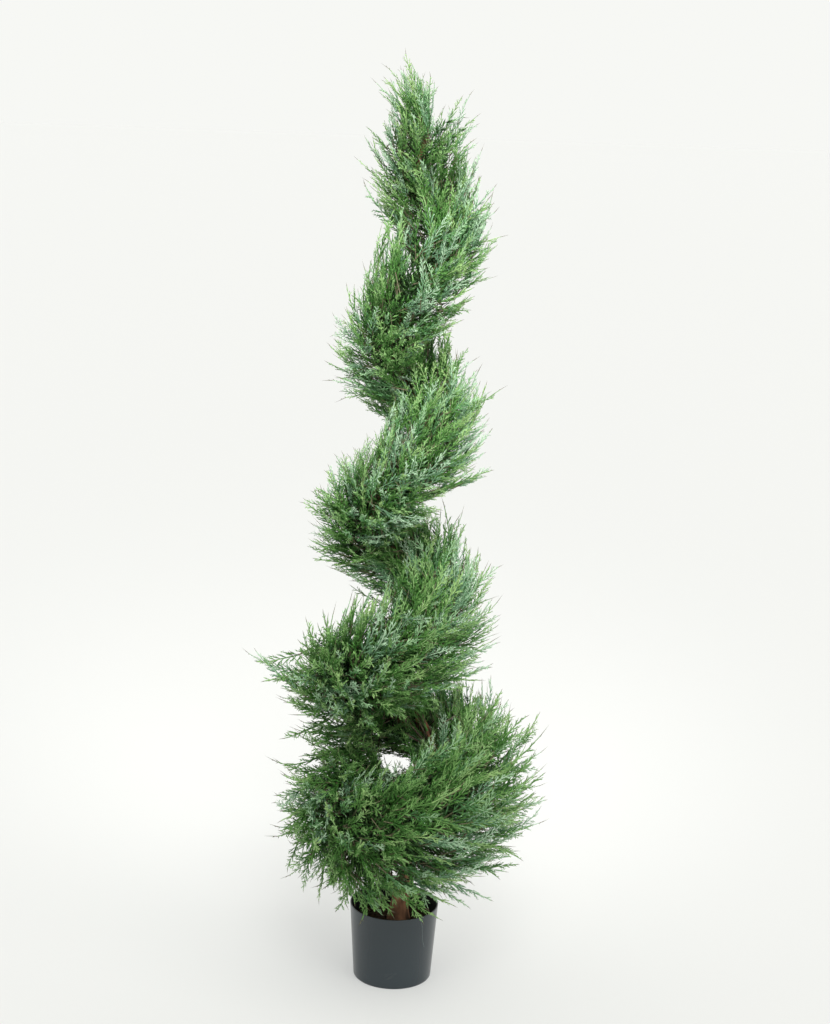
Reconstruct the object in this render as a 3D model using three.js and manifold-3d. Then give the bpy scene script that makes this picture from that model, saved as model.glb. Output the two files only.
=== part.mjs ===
// An artificial spiral topiary, 1.8 m tall, in a plain plastic nursery pot. A stem clad in bark climbs
// out of the pot and winds four times to the right round an upright, slightly bowed axis. Sprays of soft
// needles stand out of it on every side and sweep forward along it, longest round the lowest tier, and
// end in an upright plume at the top.
// Millimetres, +Z up, with the front towards -Y. The origin is the middle of the pot's underside.
import * as THREE from 'three';
import { mergeVertices } from 'three/addons/utils/BufferGeometryUtils.js';
import Module from 'manifold-3d';

const wasm = await Module();
wasm.setup();

const { lerp, clamp, smoothstep, degToRad } = THREE.MathUtils;

const CLEARANCE = 0.3; // between touching pieces

// Pot and its fill.
const POT_HEIGHT = 152;
const POT_RIM_RADIUS = 88;
const POT_BASE_RADIUS = 77.5;
const POT_WALL = 2.2;
const POT_FLOOR = 3;
const POT_SEGMENTS = 40;
const FILL_HEIGHT = 118;
const FILL_PAD_RADIUS = 30; // the flat patch under the stem's foot
const FILL_DIP = 5; // how far the fill falls off at the wall

// The winding stem. A turn of 0 is the left of the first tier, 0.25 its front and 0.5 its right, and
// each whole turn more is the left of the next tier up.
const FOOT_TURN = -0.5;
const JOIN_TURN = 0; // from here up the stem keeps its full winding radius
const TOP_TURN = 4.1;
const FOOT_X = 9;
const FOOT_HEIGHT = FILL_HEIGHT + CLEARANCE;
const FIRST_TIER_HEIGHT = 345;
const PITCH = 340; // height gained in a turn
const RISE_TURN = 0.25; // the first tier lies nearly level up to here
const RISE_SOFTNESS = 0.12;
const WINDING_RADIUS = 95; // at turn 0
const WINDING_TAPER = 21.5; // radius lost in the first turns
const WINDING_EASE = 1; // and how that loss slows down
const AXIS_LEAST_X = -16; // the winding's axis bows to the left at its middle
const AXIS_BOW = 9.5;
const AXIS_BOW_TURN = 1.9;

// The stem's thickness and its root flare.
const TRUNK_SIDES = 8;
const TRUNK_FOOT_RADIUS = 16;
const TRUNK_TIP_RADIUS = 4;
const FLARE = 7;
const FLARE_HEIGHT = 20;
const FLARE_LOBE = 2.5;

// Foliage masses are beads along the stem, each over the same number of its steps.
const MASS_COUNT = 19;
const STEPS_PER_MASS = 3;
const BARE_STEPS = 3; // bare stem between the fill and the first mass
const STEP_COUNT = BARE_STEPS + MASS_COUNT * STEPS_PER_MASS;
const MASS_GAP = 1; // between the cores of two masses
const CORE_DEPTH = 27; // how far the core stays inside the foliage's reach
const CORE_LEAST_SHARE = 0.5; // of the reach, however short that is
const CORE_PROFILE = [0.8, 1, 1, 0.8]; // how full the core is at each of its stations
const CROWN_CAP = 30; // how far the top core closes over the stem's tip
const SPRAYS_LOW = 19; // sprays on the lowest mass
const SPRAYS_TOP = 13;
const SPRAY_TRIES = 60;

// How far the foliage reaches from the middle of the stem, measured away from the winding's axis.
const REACH_LOW = 118;
const REACH_TAPER = 6.5; // reach lost in a turn
const SKIRT_REACH = 74; // the lowest tier reaches this much further at its fullest
const SKIRT_TURN = 0.28;
const SKIRT_SPREAD = 0.48;
const START_SHARE = 0.82; // the foliage starts this full and fills out over the next stretch
const START_SPREAD = 0.25; // turns
const UP_SHARE = [0.72, 1.08]; // reach upward as a share of the outward reach, lowest tier and above
const DOWN_SHARE = [0.96, 1];
const INWARD_SHARE = [0.52, 0.95];
const SHARE_TURNS = [0.6, 1.5]; // the shares change over this stretch of the winding

// Where the foliage reaches further than that, or with a negative gain less far. Each place has its turn
// and its angle, in degrees up and round from outward, and how far it spreads along and round the stem.
const SWELLS = [
  { middle: -0.12, run: 0.1, angle: 60, width: 50, gain: -0.12 }, // the first tier's low back edge
  { middle: 0, run: 0.12, angle: 0, width: 50, gain: -0.05 },
  { middle: -0.03, run: 0.16, angle: 80, width: 45, gain: 0.16 },
  { middle: 0.2, run: 0.12, angle: 75, width: 40, gain: -0.15 }, // under the gap over the lowest tier
  { middle: 0.5, run: 0.08, angle: 335, width: 40, gain: -0.1 },
  { middle: 0.58, run: 0.14, angle: 245, width: 55, gain: -0.5 }, // the gap's far side
  { middle: 0.6, run: 0.13, angle: 120, width: 52, gain: -0.6 }, // the nearly bare upper inner flank
  { middle: 0.8, run: 0.12, angle: 265, width: 45, gain: 0.2 },
  { middle: 1.07, run: 0.15, angle: 35, width: 50, gain: 0.2 }, // the second tier's left shoulder
  { middle: 1.2, run: 0.12, angle: 65, width: 40, gain: 0.2 },
  { middle: 1.3, run: 0.12, angle: 280, width: 45, gain: 0.26 }, // its hanging front
  { middle: 1.57, run: 0.15, angle: 20, width: 50, gain: 0.17 },
  { middle: 1.65, run: 0.12, angle: 220, width: 40, gain: 0.22 },
  { middle: 1.9, run: 0.12, angle: 280, width: 45, gain: 0.08 },
  { middle: 2.15, run: 0.12, angle: 70, width: 40, gain: -0.18 }, // the third tier's flat top
  { middle: 2.4, run: 0.14, angle: 315, width: 45, gain: 0.15 },
  { middle: 2.62, run: 0.12, angle: 25, width: 55, gain: 0.18 }, // its right shoulder
  { middle: 2.8, run: 0.12, angle: 275, width: 40, gain: 0.1 },
  { middle: 3.1, run: 0.1, angle: 20, width: 40, gain: -0.1 },
  { middle: 3.27, run: 0.1, angle: 75, width: 35, gain: 0.26 }, // the fourth tier merges into the next
  { middle: 3.55, run: 0.14, angle: 205, width: 45, gain: 0.3 },
  { middle: 3.62, run: 0.14, angle: 35, width: 50, gain: 0.2 }, // the right shoulder under the plume
  { middle: 3.95, run: 0.15, angle: 160, width: 50, gain: 0.18 },
  { middle: 4, run: 0.15, angle: 0, width: 60, gain: -0.1 },
];

// The foliage leans forward along the stem, further towards the plume. Each is the slope of the lean.
const LEAN_LOW = 0.5;
const LEAN_TOP = 0.75;
const LEAN_START = -0.35;
const LEAN_START_SPREAD = 0.35; // turns
const LEAN_SCATTER = 0.22;
const LENGTH_SCATTER = 0.16;
const TIP_REACH = 1.08; // the furthest tips stand this far out
const SPRAY_ROLL = 1.5; // radians
const SPRAY_SWEEP = 0.7; // slope by which a spray leans further than its mass
const GOLDEN_ANGLE = Math.PI * (3 - Math.sqrt(5));
const EVEN_STEPS = [0.7549, 0.5698]; // shares that spread points evenly over a mass and round it
const SPRAY_WIDTH = 0.19; // half width as a share of the length
const SPRAY_THICKNESS = 0.016; // half thickness at the thickest point, as a share of the length
const SPRAY_SPACE = 0.8; // kept between a spray and any other node
const ROOTED_VOLUME = 4; // least part of a spray inside a core, in cubic millimetres
const ROOT_SHARE = 0.72; // how far out in the core a spray is rooted
const STRAY_SPRAYS = 3; // a long tuft on the left of the second tier
const STRAY_TURN = 0.96;
const STRAY_ANGLE = 5; // degrees up from outward
const STRAY_SCATTER = 0.12; // radians
const STRAY_STRETCH = 1.4; // it reaches this many times as far as the foliage round it
const PLUME_SPRAYS = 14; // extra sprays that stand over the tip
const PLUME_LENGTH = 145;
const PLUME_SPREAD = 0.6; // lean of the outermost of them, in radians
const PLUME_DIRECTION = new THREE.Vector3(-0.3, 0, 1).normalize();

// Bare boughs that show in the gap above the lowest tier, by their step along the stem.
const BOUGH_STEPS = [13, 14, 15];
const BOUGH_LENGTH = 74;
const BOUGH_RADII = [4.8, 3.2];
const BOUGH_SIDES = 6;
const BOUGH_SPRAYS = 5;
const BOUGH_STEM_LENGTH = 34;
const BOUGH_STEM_TIP_RADIUS = 2;
const BOUGH_ROOTED_VOLUME = 1;
const BOUGH_ROOT_DEPTH = 8; // a spray starts this far behind the stem's middle
const BOUGH_SPRAY_LENGTH = 72;
const BOUGH_SPRAY_LEAN = 0.6; // radians

const SEED = 20;

function makeRandom(seed) {
  let state = seed;
  return () => {
    state = (state + 0x6d2b79f5) | 0;
    let mixed = Math.imul(state ^ (state >>> 15), 1 | state);
    mixed = (mixed + Math.imul(mixed ^ (mixed >>> 7), 61 | mixed)) ^ mixed;
    return ((mixed ^ (mixed >>> 14)) >>> 0) / 4294967296;
  };
}

const random = makeRandom(SEED);
const spread = (size) => (random() * 2 - 1) * size;

// ---- Solids ----

function toManifold(geometry) {
  const bare = geometry.clone();
  bare.deleteAttribute('normal');
  bare.deleteAttribute('uv');
  const merged = mergeVertices(bare, 1e-4);
  const index = merged.index.array;
  const triangles = [];
  for (let i = 0; i < index.length; i += 3) {
    const [a, b, c] = [index[i], index[i + 1], index[i + 2]];
    if (a !== b && b !== c && c !== a) triangles.push(a, b, c);
  }
  const mesh = new wasm.Mesh({
    numProp: 3,
    vertProperties: new Float32Array(merged.attributes.position.array),
    triVerts: new Uint32Array(triangles),
  });
  return new wasm.Manifold(mesh);
}

function toGeometry(manifold) {
  const mesh = manifold.getMesh();
  const geometry = new THREE.BufferGeometry();
  geometry.setAttribute('position', new THREE.BufferAttribute(new Float32Array(mesh.vertProperties), 3));
  geometry.setIndex(new THREE.BufferAttribute(new Uint32Array(mesh.triVerts), 1));
  geometry.computeVertexNormals();
  return geometry;
}

// A closed body through rings of equally many points. An open run gets a flat cap at each end, and a
// looped run joins its last ring to its first. Each facet is split along its shorter diagonal, so that
// a bore follows the limb inside it whichever way its rings run.
function ringBody(rings, looped) {
  const triangles = [];
  const sides = rings[0].length;
  const last = looped ? rings.length : rings.length - 1;
  for (let i = 0; i < last; i += 1) {
    const near = rings[i];
    const far = rings[(i + 1) % rings.length];
    for (let j = 0; j < sides; j += 1) {
      const k = (j + 1) % sides;
      if (near[j].distanceTo(far[k]) < near[k].distanceTo(far[j])) {
        triangles.push(near[j], near[k], far[k], near[j], far[k], far[j]);
      } else {
        triangles.push(near[j], near[k], far[j], near[k], far[k], far[j]);
      }
    }
  }
  if (!looped) {
    const [start, end] = [rings[0], rings.at(-1)];
    for (let j = 1; j < sides - 1; j += 1) {
      triangles.push(start[0], start[j + 1], start[j], end[0], end[j], end[j + 1]);
    }
  }
  return new THREE.BufferGeometry().setFromPoints(triangles);
}

function ringPoints(centre, across, aloft, radius, sides, lobe = 0) {
  const points = [];
  for (let j = 0; j < sides; j += 1) {
    const angle = (2 * Math.PI * j) / sides;
    const length = radius + lobe * Math.cos(3 * angle);
    points.push(centre.clone()
      .addScaledVector(across, length * Math.cos(angle))
      .addScaledVector(aloft, length * Math.sin(angle)));
  }
  return points;
}

// ---- The stem's path ----

function stemPoint(turn) {
  const angle = Math.PI * (1 + 2 * turn);
  const radius = WINDING_RADIUS - WINDING_TAPER * turn + WINDING_EASE * turn ** 2;
  const axisX = AXIS_LEAST_X + AXIS_BOW * (turn - AXIS_BOW_TURN) ** 2;
  const rise = Math.log1p(Math.exp((turn - RISE_TURN) / RISE_SOFTNESS)) * RISE_SOFTNESS;
  const swing = smoothstep(turn, FOOT_TURN, JOIN_TURN);
  const climb = clamp((turn - FOOT_TURN) / (JOIN_TURN - FOOT_TURN), 0, 1);
  return new THREE.Vector3(
    lerp(FOOT_X, axisX + radius * Math.cos(angle), swing),
    radius * Math.sin(angle) * swing,
    lerp(FOOT_HEIGHT, FIRST_TIER_HEIGHT + PITCH * rise, 1 - (1 - climb) ** 2),
  );
}

function stemTangent(turn) {
  const step = 1e-3;
  return stemPoint(turn + step).sub(stemPoint(turn - step)).normalize();
}

// Directions square to the stem: away from the winding's axis, and up.
function stemDirections(turn) {
  const forward = stemTangent(turn);
  const angle = Math.PI * (1 + 2 * turn);
  const outward = new THREE.Vector3(Math.cos(angle), Math.sin(angle), 0);
  outward.addScaledVector(forward, -outward.dot(forward)).normalize();
  const upward = new THREE.Vector3().crossVectors(outward, forward);
  return { forward, outward, upward };
}

function trunkRadius(turn) {
  const along = (turn - FOOT_TURN) / (TOP_TURN - FOOT_TURN);
  return lerp(TRUNK_FOOT_RADIUS, TRUNK_TIP_RADIUS, along ** 0.8);
}

// Stations one step apart. Their rings keep the last ring's heading, so that the tube never twists.
function makeStations() {
  const stations = [];
  let across = new THREE.Vector3(1, 0, 0);
  for (let i = 0; i <= STEP_COUNT; i += 1) {
    const turn = lerp(FOOT_TURN, TOP_TURN, i / STEP_COUNT);
    const forward = i === 0 ? new THREE.Vector3(0, 0, 1) : stemTangent(turn);
    across = across.clone().addScaledVector(forward, -across.dot(forward)).normalize();
    const aloft = new THREE.Vector3().crossVectors(forward, across);
    stations.push({ turn, centre: stemPoint(turn), forward, across, aloft, radius: trunkRadius(turn) });
  }
  return stations;
}

const stations = makeStations();

// The middle of the faceted stem at a turn, on the straight line between two stations.
function chordPoint(turn) {
  const place = ((turn - FOOT_TURN) / (TOP_TURN - FOOT_TURN)) * STEP_COUNT;
  const low = Math.min(Math.floor(place), STEP_COUNT - 1);
  return stations[low].centre.clone().lerp(stations[low + 1].centre, place - low);
}

// A station moved along the stem by a distance, or towards another station.
function slide(station, distance) {
  return { ...station, centre: station.centre.clone().addScaledVector(station.forward, distance) };
}

function slideTowards(station, other, distance) {
  const step = other.centre.clone().sub(station.centre).setLength(distance);
  return { ...station, centre: station.centre.clone().add(step) };
}

function stationRing(station, radius, lobe = 0) {
  return ringPoints(station.centre, station.across, station.aloft, radius, TRUNK_SIDES, lobe);
}

// ---- Pot and fill ----

function lathe(profile) {
  const points = profile.map(([radius, height]) => new THREE.Vector2(radius, height));
  const geometry = new THREE.LatheGeometry(points, POT_SEGMENTS);
  return toManifold(geometry.rotateX(Math.PI / 2));
}

function potInnerRadius(height) {
  return lerp(POT_BASE_RADIUS, POT_RIM_RADIUS, height / POT_HEIGHT) - POT_WALL;
}

function makePot() {
  return lathe([
    [0, 0],
    [POT_BASE_RADIUS, 0],
    [POT_RIM_RADIUS, POT_HEIGHT],
    [POT_RIM_RADIUS - POT_WALL, POT_HEIGHT],
    [potInnerRadius(POT_FLOOR), POT_FLOOR],
    [0, POT_FLOOR],
  ]);
}

function makeFill() {
  const base = POT_FLOOR + CLEARANCE;
  const edge = FILL_HEIGHT - FILL_DIP;
  return lathe([
    [0, base],
    [potInnerRadius(base) - CLEARANCE, base],
    [potInnerRadius(edge) - CLEARANCE, edge],
    [FILL_PAD_RADIUS, FILL_HEIGHT],
    [0, FILL_HEIGHT],
  ]);
}

// ---- Trunk and boughs ----

function makeTrunk() {
  const rings = [];
  for (const station of stations) {
    const flare = Math.exp(-(station.centre.z - FOOT_HEIGHT) / FLARE_HEIGHT);
    rings.push(stationRing(station, station.radius + FLARE * flare, FLARE_LOBE * flare));
  }
  return toManifold(ringBody(rings, false));
}

// The middle and the normal of the stem's facet that faces a given way, just above a station.
function trunkFacet(step, facing) {
  const low = stationRing(stations[step], stations[step].radius);
  const high = stationRing(stations[step + 1], stations[step + 1].radius);
  let best = null;
  for (let j = 0; j < TRUNK_SIDES; j += 1) {
    const k = (j + 1) % TRUNK_SIDES;
    const middle = low[j].clone().add(low[k]).add(high[j]).add(high[k]).divideScalar(4);
    const rising = high[j].clone().add(high[k]).sub(low[j]).sub(low[k]);
    const normal = low[k].clone().sub(low[j]).cross(rising).normalize();
    const match = normal.dot(facing);
    if (!best || match > best.match) best = { middle, normal, match };
  }
  return best;
}

// A bough leaves the stem square to it and bends forward along it.
function boughPath(step) {
  const { forward, outward, upward } = stemDirections(stations[step].turn);
  const facing = upward.clone().addScaledVector(outward, -0.5).normalize();
  const { middle, normal } = trunkFacet(step, facing);
  const start = middle.clone().addScaledVector(normal, CLEARANCE);
  const bend = start.clone().addScaledVector(normal, BOUGH_LENGTH * 0.45);
  const end = bend.clone()
    .addScaledVector(normal, BOUGH_LENGTH * 0.3)
    .addScaledVector(forward, BOUGH_LENGTH * 0.45);
  return new THREE.QuadraticBezierCurve3(start, bend, end);
}

// A tapering limb along a curve. A positive margin thickens it and lengthens it at both ends.
function limb(curve, radii, sides, steps, margin = 0) {
  const rings = [];
  for (let i = 0; i <= steps; i += 1) {
    const share = i / steps;
    const forward = curve.getTangent(share);
    const centre = curve.getPoint(share);
    if (i === 0) centre.addScaledVector(forward, -margin);
    if (i === steps) centre.addScaledVector(forward, margin);
    const across = new THREE.Vector3(0, 1, 0).cross(forward).normalize();
    const aloft = new THREE.Vector3().crossVectors(forward, across);
    rings.push(ringPoints(centre, across, aloft, lerp(...radii, share) + margin, sides));
  }
  return toManifold(ringBody(rings, false));
}

// ---- Foliage ----

function shareAt(pair, turn) {
  return lerp(...pair, smoothstep(turn, ...SHARE_TURNS));
}

function swellAt(turn, angle) {
  let share = 1;
  for (const swell of SWELLS) {
    const off = Math.acos(clamp(Math.cos(angle - degToRad(swell.angle)), -1, 1));
    const round = off / degToRad(swell.width);
    const along = (turn - swell.middle) / swell.run;
    share += swell.gain * Math.exp(-(round ** 2) - along ** 2);
  }
  return share;
}

// How far the foliage reaches at a turn, in a direction round the stem: 0 is outward, a quarter turn up.
function reachAt(turn, angle) {
  const skirt = SKIRT_REACH * Math.exp(-(((turn - SKIRT_TURN) / SKIRT_SPREAD) ** 2));
  const start = stations[BARE_STEPS].turn;
  const filled = lerp(START_SHARE, 1, smoothstep(turn, start, start + START_SPREAD));
  const outward = (REACH_LOW - REACH_TAPER * turn + skirt) * filled * swellAt(turn, angle);
  const level = Math.cos(angle) > 0 ? 1 : shareAt(INWARD_SHARE, turn);
  const upright = shareAt(Math.sin(angle) > 0 ? UP_SHARE : DOWN_SHARE, turn);
  return outward / Math.hypot(Math.cos(angle) / level, Math.sin(angle) / upright);
}

// The outline of a spray's two edges: share of the length, and share of the half width.
const LEFT_TEETH = [[0.14, 0.22], [0.4, 0.95], [0.47, 0.3], [0.68, 0.9], [0.68, 0.2]];
const RIGHT_TEETH = [[0.2, 0.22], [0.56, 1], [0.57, 0.25]];
const SPRAY_RIDGE = 0.46;

// A spray is a toothed blade, thickest along its middle. A positive margin swells it all round.
function sprayBlade({ root, direction, flat, length }, margin = 0) {
  const normal = new THREE.Vector3().crossVectors(direction, flat);
  const place = (along, across) => root.clone()
    .addScaledVector(direction, along)
    .addScaledVector(flat, across);
  const edge = [place(-margin, 0)];
  const halfWidth = length * SPRAY_WIDTH;
  for (const [along, across] of LEFT_TEETH) edge.push(place(along * length, across * halfWidth + margin));
  edge.push(place(length + margin, 0));
  for (const [along, across] of [...RIGHT_TEETH].reverse()) {
    edge.push(place(along * length, -across * halfWidth - margin));
  }
  const thickness = length * SPRAY_THICKNESS + margin;
  const ridge = place(SPRAY_RIDGE * length, 0).addScaledVector(normal, thickness);
  const keel = place(SPRAY_RIDGE * length, 0).addScaledVector(normal, -thickness);
  const triangles = [];
  edge.forEach((point, i) => {
    const next = edge[(i + 1) % edge.length];
    triangles.push(next, point, ridge, point, next, keel);
  });
  return toManifold(new THREE.BufferGeometry().setFromPoints(triangles));
}

// How far a point that leans with the foliage lies ahead of its root, for each millimetre away from the
// stem. Round the start of the winding the foliage leans back instead, which rounds it off there.
function leanAt(turn) {
  const start = stations[BARE_STEPS].turn;
  const forward = lerp(LEAN_LOW, LEAN_TOP, clamp(turn / TOP_TURN, 0, 1) ** 2);
  return lerp(LEAN_START, forward, smoothstep(turn, start, start + LEAN_START_SPREAD));
}

function coreReach(reach) {
  return Math.max(reach - CORE_DEPTH, reach * CORE_LEAST_SHARE);
}

// A core's ring follows the foliage's reach in each direction round the stem, and its lean.
function coreRing(station, share) {
  const { outward, upward } = stemDirections(station.turn);
  return stationRing(station, 1).map((point) => {
    const away = point.sub(station.centre);
    const reach = reachAt(station.turn, Math.atan2(away.dot(upward), away.dot(outward)));
    const length = coreReach(reach) * share;
    return away.multiplyScalar(length)
      .addScaledVector(station.forward, length * leanAt(station.turn))
      .add(station.centre);
  });
}

// The core's bore keeps the clearance to the flats of the stem, not just to its edges.
function boreRadius(station) {
  return station.radius + CLEARANCE / Math.cos(Math.PI / TRUNK_SIDES);
}

// The core of a mass is a rounded bead that the stem runs through, clear of it all round. The top one
// closes over the stem's tip.
function makeCore(mass) {
  const first = BARE_STEPS + mass * STEPS_PER_MASS;
  const span = stations.slice(first, first + STEPS_PER_MASS + 1);
  const outer = [];
  const inner = [];
  span.forEach((station, i) => {
    const isEnd = i === 0 || i === STEPS_PER_MASS;
    const neighbour = span[i === 0 ? 1 : i - 1];
    const bead = isEnd ? slideTowards(station, neighbour, MASS_GAP / 2) : station;
    outer.push(coreRing(bead, CORE_PROFILE[i]));
    inner.unshift(stationRing(bead, boreRadius(station)));
  });
  if (mass === MASS_COUNT - 1) {
    const tip = stations.at(-1);
    const crown = slide(tip, CROWN_CAP);
    const roof = slide(tip, CLEARANCE);
    outer.splice(-1, 1, coreRing(tip, CORE_PROFILE[STEPS_PER_MASS]), stationRing(crown, 0));
    inner.splice(0, 1, stationRing(roof, 0), stationRing(roof, boreRadius(tip)));
  }
  return toManifold(ringBody([...outer, ...inner], true));
}

// A spray stands in the core's wall and leans with the foliage. A stretched one stands out of it.
function stemSpray(turn, angle, stretch = 1) {
  const { forward, outward, upward } = stemDirections(turn);
  const away = outward.clone().multiplyScalar(Math.cos(angle)).addScaledVector(upward, Math.sin(angle));
  const round = new THREE.Vector3().crossVectors(forward, away);
  const reach = reachAt(turn, angle);
  const depth = coreReach(reach) * ROOT_SHARE;
  const root = chordPoint(turn)
    .addScaledVector(away, depth)
    .addScaledVector(forward, depth * leanAt(turn));
  const sweep = stretch > 1 ? 0 : SPRAY_SWEEP;
  const slope = leanAt(turn) + sweep + spread(LEAN_SCATTER);
  const direction = away.clone().addScaledVector(forward, slope);
  const tip = reach * stretch * (TIP_REACH - random() * LENGTH_SCATTER);
  const length = (tip - depth) * direction.length();
  direction.normalize();
  return { root, direction, flat: round.applyAxisAngle(direction, spread(SPRAY_ROLL)), length };
}

// Sprays round the end of a stem, spread about its own direction.
function endSpray(end, forward, lean, angle, length) {
  const across = new THREE.Vector3(0, 1, 0).cross(forward).normalize();
  const aloft = new THREE.Vector3().crossVectors(forward, across);
  const away = across.multiplyScalar(Math.cos(angle)).addScaledVector(aloft, Math.sin(angle));
  const direction = forward.clone().multiplyScalar(Math.cos(lean)).addScaledVector(away, Math.sin(lean));
  const flat = new THREE.Vector3().crossVectors(forward, away);
  return { root: end, direction, flat: flat.applyAxisAngle(direction, spread(SPRAY_ROLL)), length };
}

function boxesMeet(a, b) {
  return [0, 1, 2].every((axis) => a.min[axis] <= b.max[axis] && b.min[axis] <= a.max[axis]);
}

// The largest closed shell of a body, without its loose scraps and with its sealed hollows filled.
function largestShell(body) {
  return body.decompose().reduce((best, shell) => (shell.volume() > best.volume() ? shell : best));
}

// Keeps the sprays that are rooted in the core and stay clear of every other node, until the mass has
// its number of them.
function growMass(core, candidates, limit, others, rootedVolume = ROOTED_VOLUME) {
  const parts = [core];
  for (const spray of candidates) {
    if (parts.length > limit) break;
    const swollen = sprayBlade(spray, SPRAY_SPACE);
    const box = swollen.boundingBox();
    const near = others.filter((other) => boxesMeet(box, other.boundingBox()));
    const isClear = near.every((other) => swollen.intersect(other).isEmpty());
    const blade = sprayBlade(spray);
    if (isClear && blade.intersect(core).volume() > rootedVolume) parts.push(blade);
  }
  return largestShell(wasm.Manifold.union(parts));
}

function massSprays(mass) {
  const first = stations[BARE_STEPS + mass * STEPS_PER_MASS];
  const last = stations[BARE_STEPS + (mass + 1) * STEPS_PER_MASS];
  const sprays = [];
  if (mass === MASS_COUNT - 1) {
    const end = slide(last, CROWN_CAP / 2).centre;
    for (let i = 0; i < PLUME_SPRAYS; i += 1) {
      const lean = PLUME_SPREAD * Math.sqrt(i / PLUME_SPRAYS);
      const length = PLUME_LENGTH * (1 - 0.25 * (i / PLUME_SPRAYS));
      sprays.push(endSpray(end, PLUME_DIRECTION, lean, i * GOLDEN_ANGLE, length));
    }
  }
  if (first.turn <= STRAY_TURN && STRAY_TURN < last.turn) {
    for (let i = 0; i < STRAY_SPRAYS; i += 1) {
      sprays.push(stemSpray(STRAY_TURN, degToRad(STRAY_ANGLE) + spread(STRAY_SCATTER), STRAY_STRETCH));
    }
  }
  for (let i = 0; i < SPRAY_TRIES; i += 1) {
    const share = (i * EVEN_STEPS[0]) % 1;
    const angle = 2 * Math.PI * (i * EVEN_STEPS[1] + mass * 0.37);
    sprays.push(stemSpray(lerp(first.turn, last.turn, share), angle + spread(0.25)));
  }
  return sprays;
}

// The small mass on a bough goes on from its tip: a tapering stem with sprays to all sides.
function boughMass(path, others) {
  const forward = path.getTangent(1);
  const start = path.getPoint(1).addScaledVector(forward, CLEARANCE);
  const tip = start.clone().addScaledVector(forward, BOUGH_STEM_LENGTH);
  const radii = [BOUGH_RADII[1], BOUGH_STEM_TIP_RADIUS];
  const stem = limb(new THREE.LineCurve3(start, tip), radii, BOUGH_SIDES, 1);
  const sprays = [];
  for (let i = 0; i < SPRAY_TRIES; i += 1) {
    const root = start.clone().lerp(tip, 0.9 - 0.6 * ((i * EVEN_STEPS[0]) % 1));
    const lean = BOUGH_SPRAY_LEAN * Math.min(i / 2, 1);
    const spray = endSpray(root, forward, lean, i * GOLDEN_ANGLE, BOUGH_SPRAY_LENGTH);
    spray.root = root.addScaledVector(spray.direction, -BOUGH_ROOT_DEPTH);
    sprays.push(spray);
  }
  return growMass(stem, sprays, BOUGH_SPRAYS, others, BOUGH_ROOTED_VOLUME);
}

// ---- The whole plant ----

const COLOURS = {
  pot: [0x2f3638, 0.42],
  fill: [0x2a2019, 0.95],
  bark: [0x5b3a29, 0.85],
  foliage: [0x3f7048, 0.7],
};

const plant = new THREE.Group();

function addNode(name, geometry, look) {
  const [color, roughness] = COLOURS[look];
  const material = new THREE.MeshStandardMaterial({ color, roughness, metalness: 0 });
  const mesh = new THREE.Mesh(geometry, material);
  mesh.name = name;
  plant.add(mesh);
}

const pot = makePot();
const trunk = makeTrunk();
const boughPaths = BOUGH_STEPS.map(boughPath);
const boughs = boughPaths.map((path) => limb(path, BOUGH_RADII, BOUGH_SIDES, 4));
const boughRoom = boughPaths.map((path) => limb(path, BOUGH_RADII, BOUGH_SIDES, 4, CLEARANCE * 1.5));
const cores = [];
for (let mass = 0; mass < MASS_COUNT; mass += 1) {
  cores.push(boughRoom.reduce((core, room) => core.subtract(room), makeCore(mass)));
}

addNode('pot', toGeometry(pot), 'pot');
addNode('pot_fill', toGeometry(makeFill()), 'fill');
addNode('trunk', toGeometry(trunk), 'bark');

const limbs = [pot, trunk, ...boughs];
const done = [];
boughPaths.forEach((path, i) => {
  const mass = boughMass(path, [...limbs, ...cores, ...done]);
  done.push(mass);
  addNode(`bough_${i + 1}`, toGeometry(boughs[i]), 'bark');
  addNode(`foliage_bough_${i + 1}`, toGeometry(mass), 'foliage');
});
cores.forEach((core, i) => {
  const later = cores.slice(i + 1);
  const limit = Math.round(lerp(SPRAYS_LOW, SPRAYS_TOP, i / (MASS_COUNT - 1)));
  const mass = growMass(core, massSprays(i), limit, [...limbs, ...later, ...done]);
  done.push(mass);
  addNode(`foliage_${String(i + 1).padStart(2, '0')}`, toGeometry(mass), 'foliage');
});

export default plant;
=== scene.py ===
"""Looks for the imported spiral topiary.

The foliage grows by the CAD source's own rule, carried on to finer twigs: every spray stands on the
winding stem, leans forward along it and ends within the reach that the source gives it.
Sizes are millimetres until they go into a mesh. Left and right are as seen from the front, -Y.
"""
import math

import bpy
import numpy as np
from mathutils import Matrix, Vector


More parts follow.
